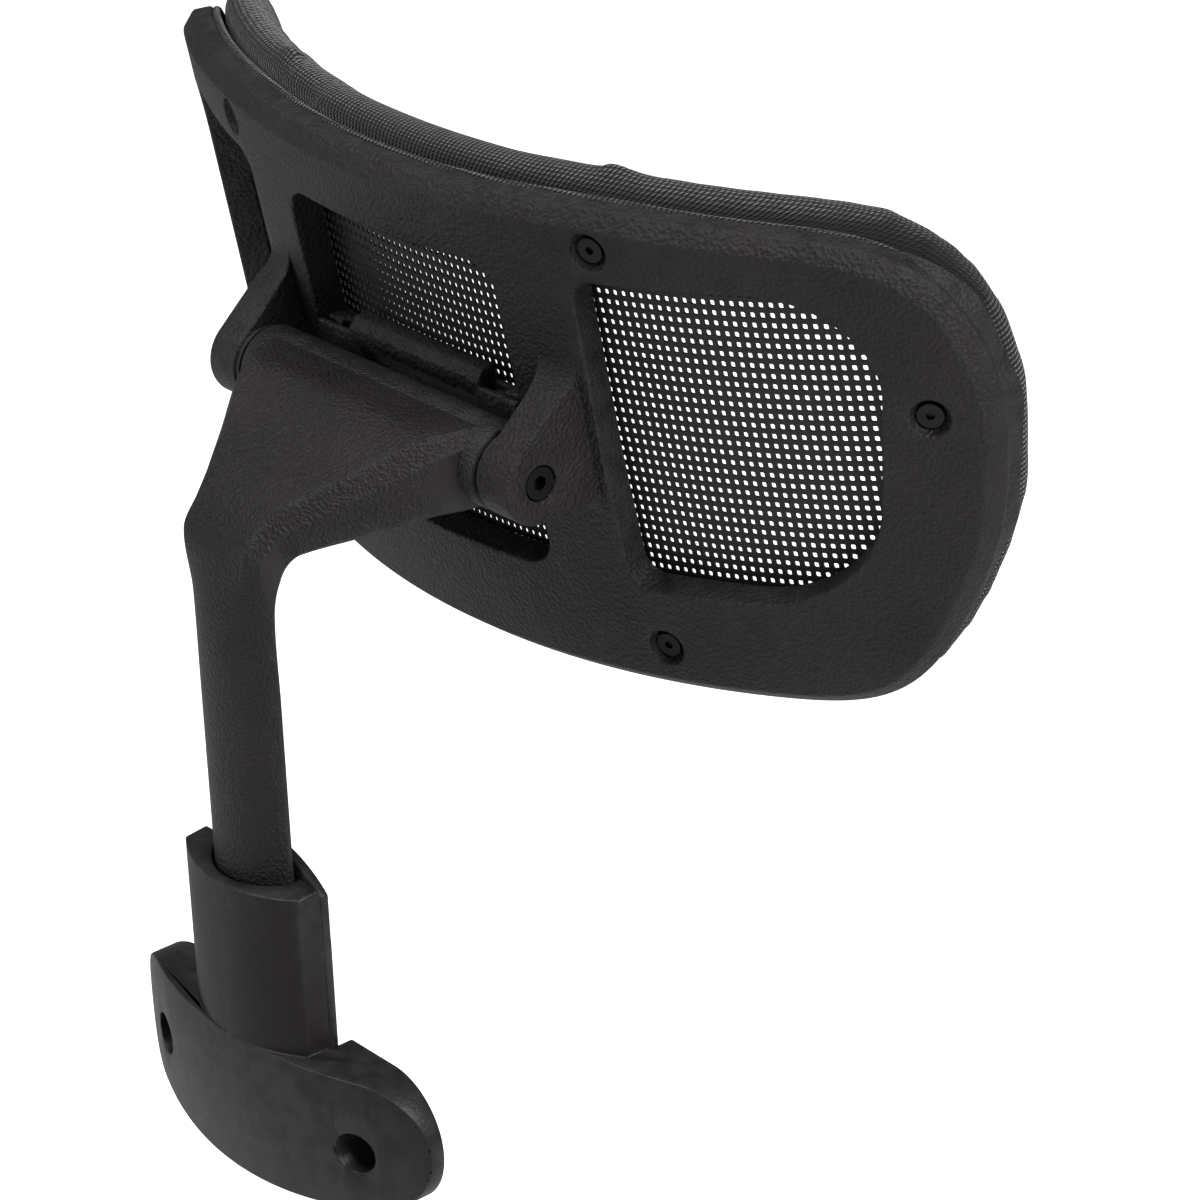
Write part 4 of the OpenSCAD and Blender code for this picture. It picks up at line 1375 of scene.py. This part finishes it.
@dataclass
class Arm:
    """The post, its bend, the flaring neck and the hinge barrel, as one moulding."""

    pivot_y: float = -35.0
    pivot_z: float = 150.0
    post_half: float = 13.0
    post_front: float = 6.9
    post_edge: float = 8.1
    post_bulge: float = 7.0
    foot: float = 22.0
    straight_top: float = 121.0
    barrel_r: float = 9.3
    barrel_half: float = 40.3
    groove_half: float = 5.0
    groove_depth: float = 1.0
    notch_r: float = 1.6
    notch_pitch: float = 8.0
    window_z: float = 42.0

    def build(self, finishes: Finishes) -> bpy.types.Object:
        """Makes the arm.

        Args:
            finishes: The materials.

        Returns:
            The arm, which stands for the CAD node.
        """
        work = bmesh.new()
        rings = curve_through(self._stations(), 10)
        made = [[work.verts.new(point * MM) for point in ring] for ring in rings]
        for first, second in zip(made, made[1:]):
            ring_faces(work, first, second)
        work.faces.new(made[0])
        work.faces.new(made[-1])
        arm = finish_mesh("arm_moulding", work, 30.0)
        for cutter in self._cutters():
            subtract(arm, cutter)
        work = bmesh.new()

        def place(along: float, p: float, q: float) -> Vector:
            """Puts a turned point on the tilt axis."""
            return Vector((along, self.pivot_y + p, self.pivot_z + q)) * MM

        lathe(work, self._barrel_profile(), place)
        gather(arm, finish_mesh("barrel", work))
        shade(arm, 24.0)
        finishes.dress(arm, Slot.ARM)
        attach(arm, Body.ARM.value)
        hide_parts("arm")
        LOG.info("%s: post, neck and barrel", arm.name)
        return arm

    def _barrel_profile(self) -> list[Point2]:
        """Closed profile of the barrel, with rounded rims and a bore at each end for the screw."""
        half, r, bore, deep = self.barrel_half, self.barrel_r, 2.7, 12.0
        outer = []
        for side in (-1, 1):
            turn = [(side * (half - a), r - b) for b, a in ((0.0, 0.6), (0.18, 0.18), (0.6, 0.0))]
            outer.append(turn)
        left = [(-half, bore)] + outer[0][::-1]
        right = outer[1] + [(half, bore)]
        ends = [(half - deep, bore), (half - deep, 0.01), (deep - half, 0.01), (deep - half, bore)]
        return left + right + ends

    def _cutters(self) -> Iterable[bpy.types.Object]:
        """Makes one cutter at a time: the detent groove, then each notch."""
        low, high = self.foot - 4.0, self.window_z + 38.0
        size = Vector((2 * self.groove_half, 2 * self.groove_depth, high - low)) * MM
        work = bmesh.new()
        bmesh.ops.create_cube(work, size=1.0)
        bmesh.ops.scale(work, vec=size, verts=work.verts)
        bmesh.ops.translate(work, vec=Vector((0.0, self.post_front, (low + high) / 2)) * MM, verts=work.verts)
        yield finish_mesh("groove", work)
        for i in range(-1, 4):
            work = bmesh.new()
            bmesh.ops.create_cone(work, cap_ends=True, segments=32, radius1=self.notch_r * MM,
                                  radius2=self.notch_r * MM, depth=1.99 * self.groove_half * MM)
            bmesh.ops.rotate(work, matrix=Matrix.Rotation(math.pi / 2, 3, "Y"), verts=work.verts)
            notch_z = self.window_z + i * self.notch_pitch
            spot = Vector((0.0, self.post_front + self.groove_depth - 0.5, notch_z))
            bmesh.ops.translate(work, vec=spot * MM, verts=work.verts)
            yield finish_mesh("notch", work)

    def _stations(self) -> list[list[Vector]]:
        """Rings of matching points from the foot to the barrel."""
        straight = [self._post_ring(z) for z in (self.foot, 60.0, 100.0, self.straight_top)]
        neck = [
            self._neck_ring(self.post_edge + 0.2, 12.9, -23.85, -12.9, 3.4, 46.0),
            self._neck_ring(self.post_edge - 2.8, 14.2, -19.1, -8.1, 4.0, 22.0),
            self._neck_ring(self.pivot_y + 37.0, 16.9, -15.9, -4.8, 4.4, 4.0),
            self._neck_ring(self.pivot_y + 26.0, 25.0, -12.6, 1.3, 4.5, 0.0),
            self._neck_ring(self.pivot_y + 14.0, 33.8, -8.9, 8.0, 4.5, 0.0),
            self._neck_ring(self.pivot_y + 7.0, 36.0, -8.9, 8.7, 3.2, 0.0),
            self._neck_ring(self.pivot_y + 1.0, 36.8, -8.9, 8.9, 1.5, 0.0),
        ]
        return straight + neck

    def _post_ring(self, z: float) -> list[Vector]:
        """Section of the post: flat front, narrow flat flanks and a rounded rear."""
        half, crown = self.post_half, self.post_edge + self.post_bulge
        radius = (half * half + self.post_bulge ** 2) / (2 * self.post_bulge)
        points = []
        for x, _ in self._under(half):
            points.append(Vector((x, self.post_front, z)))
        for f in (0.12, 0.5, 0.88):
            points.append(Vector((half, self.post_front + (self.post_edge - self.post_front) * f, z)))
        for x in self._over(half, 3.4):
            points.append(Vector((x, crown - radius + math.sqrt(max(radius * radius - x * x, 0.0)), z)))
        for f in (0.88, 0.5, 0.12):
            points.append(Vector((-half, self.post_front + (self.post_edge - self.post_front) * f, z)))
        return points

    def _neck_ring(
        self, y: float, half: float, low: float, high: float, bevel: float, tip: float
    ) -> list[Vector]:
        """Section of the neck: flat underside, flat flanks, bevelled top corners.

        Args:
            y: Place of the section along the neck.
            half: Half of its width.
            low: Underside above the tilt axis.
            high: Top above the tilt axis.
            bevel: Height of the bevel strip.
            tip: Lean of the section towards the post, degrees.

        Returns:
            The ring.
        """
        middle = (low + high) / 2
        flat = []
        for x, _ in self._under(half):
            flat.append((x, low))
        for f in (0.12, 0.5, 0.97):
            flat.append((half, low + (high - bevel - low) * f))
        for x in self._over(half, 0.62 * bevel):
            fall = max(abs(x) - (half - 0.62 * bevel), 0.0) / (0.62 * bevel)
            flat.append((x, high - bevel * fall))
        for f in (0.97, 0.5, 0.12):
            flat.append((-half, low + (high - bevel - low) * f))
        a = math.radians(tip)
        ring = []
        for x, h in flat:
            off = h - middle
            ring.append(Vector((x, y + off * math.sin(a), self.pivot_z + middle + off * math.cos(a))))
        return ring

    def _under(self, half: float) -> list[Point2]:
        """Stations across the flat side, left to right."""
        inner = half - 0.7
        return [(-inner + 2 * inner * i / 16, 0.0) for i in range(17)]

    def _over(self, half: float, bevel: float) -> list[float]:
        """Stations across the rounded side, right to left, with a pair at each end of the bevel strips."""
        inner = half - bevel
        strip = [half, half - 0.25 * bevel, half - 0.5 * bevel, half - 0.75 * bevel, inner + 0.08 * bevel]
        crown = [inner - 0.2 - (2 * inner - 0.4) * i / 22 for i in range(23)]
        return strip + crown + [-x for x in reversed(strip)]


# ---------------------------------------------------------------- bracket and studio


@dataclass
class Bracket:
    """The mouldings that bolt to the chair back."""

    edge_round: float = 0.00045
    plate_round: float = 0.0005

    def build(self, finishes: Finishes) -> None:
        """Makes the bracket's mouldings with rounded edges."""
        soften("bracket_casing", Body.BRACKET, Slot.CASING, finishes, self.edge_round)
        soften("bracket_front_plate", Body.BRACKET, Slot.CASING, finishes, self.plate_round)


@dataclass
class Studio:
    """Camera, soft lights and a plain pale sweep."""

    target: Vector = field(default_factory=lambda: Vector((0.0, -0.035, 0.150)))
    bearing: float = 50.07
    elevation: float = 25.49
    roll: float = -2.09
    distance: float = 0.94
    shift_right: float = 0.04586
    shift_up: float = -0.03975
    lens: float = 131.4
    floor_z: float = -0.34
    surround: float = 0.16

    def build(self) -> None:
        """Makes the camera, the lights and the sweep."""
        self._camera()
        self._world()
        self._light("key", (-1.5, -0.2, 1.3), 0.9, 27.0)
        self._light("top", (0.5, 0.5, 1.7), 0.8, 13.0)
        self._light("fill", (1.2, 1.2, 0.3), 1.0, 4.0)
        self._sweep()
        LOG.info("camera, three soft lights and the sweep are in place")

    def _camera(self) -> None:
        """Places the camera behind, above and to the right of the headrest."""
        turn, rise, roll = (math.radians(v) for v in (self.bearing, self.elevation, self.roll))
        back = Vector((-math.sin(turn) * math.cos(rise), math.cos(turn) * math.cos(rise), math.sin(rise)))
        right = (-back).cross(Vector((0.0, 0.0, 1.0))).normalized()
        up = right.cross(-back)
        tilted = right * math.cos(roll) + up * math.sin(roll)
        upright = -right * math.sin(roll) + up * math.cos(roll)
        data = bpy.data.cameras.new("camera")
        data.lens = self.lens
        data.sensor_width = 36.0
        data.clip_start = 0.05
        camera = bpy.data.objects.new("camera", data)
        place = self.target + back * self.distance + tilted * self.shift_right + upright * self.shift_up
        camera.matrix_world = Matrix((
            (tilted.x, upright.x, back.x, place.x),
            (tilted.y, upright.y, back.y, place.y),
            (tilted.z, upright.z, back.z, place.z),
            (0.0, 0.0, 0.0, 1.0),
        ))
        bpy.context.scene.collection.objects.link(camera)
        bpy.context.scene.camera = camera

    def _world(self) -> None:
        """Gives a plain white surround, dim enough to keep the black plastic dark."""
        world = bpy.data.worlds.new("studio")
        world.use_nodes = True
        world.node_tree.nodes["Background"].inputs["Color"].default_value = (1.0, 1.0, 1.0, 1.0)
        world.node_tree.nodes["Background"].inputs["Strength"].default_value = self.surround
        bpy.context.scene.world = world
        bpy.context.scene.view_settings.view_transform = "Standard"

    def _light(self, name: str, place: tuple[float, float, float], size: float, power: float) -> None:
        """Adds one large square area light that looks at the headrest."""
        data = bpy.data.lights.new(name, "AREA")
        data.size = size
        data.energy = power
        light = bpy.data.objects.new(name, data)
        light.location = place
        light.rotation_euler = (self.target - Vector(place)).to_track_quat("-Z", "Y").to_euler()
        bpy.context.scene.collection.objects.link(light)

    def _sweep(self) -> None:
        """Adds a wide pale floor well below the part."""
        work = bmesh.new()
        half = 6.0
        square = ((-half, -half), (half, -half), (half, half), (-half, half))
        corners = [work.verts.new((x, y, self.floor_z)) for x, y in square]
        work.faces.new(corners)
        floor = finish_mesh("floor", work)
        kit, shader = start_material("pale_floor", 0.9)
        shader.inputs["Base Color"].default_value = (0.9, 0.9, 0.9, 1.0)
        shader.inputs["Emission Color"].default_value = (1.0, 1.0, 1.0, 1.0)
        kit.join(kit.add("LightPath").outputs["Is Camera Ray"], shader.inputs["Emission Strength"])
        floor.data.materials.append(kit.material)


def main() -> None:
    """Builds the studio and every sub-assembly."""
    finishes = Finishes()
    finishes.dress_cad()
    Studio().build()
    Bracket().build(finishes)
    Arm().build(finishes)
    Headrest(HeadShape()).build(finishes)


if __name__ == "__main__":
    main()
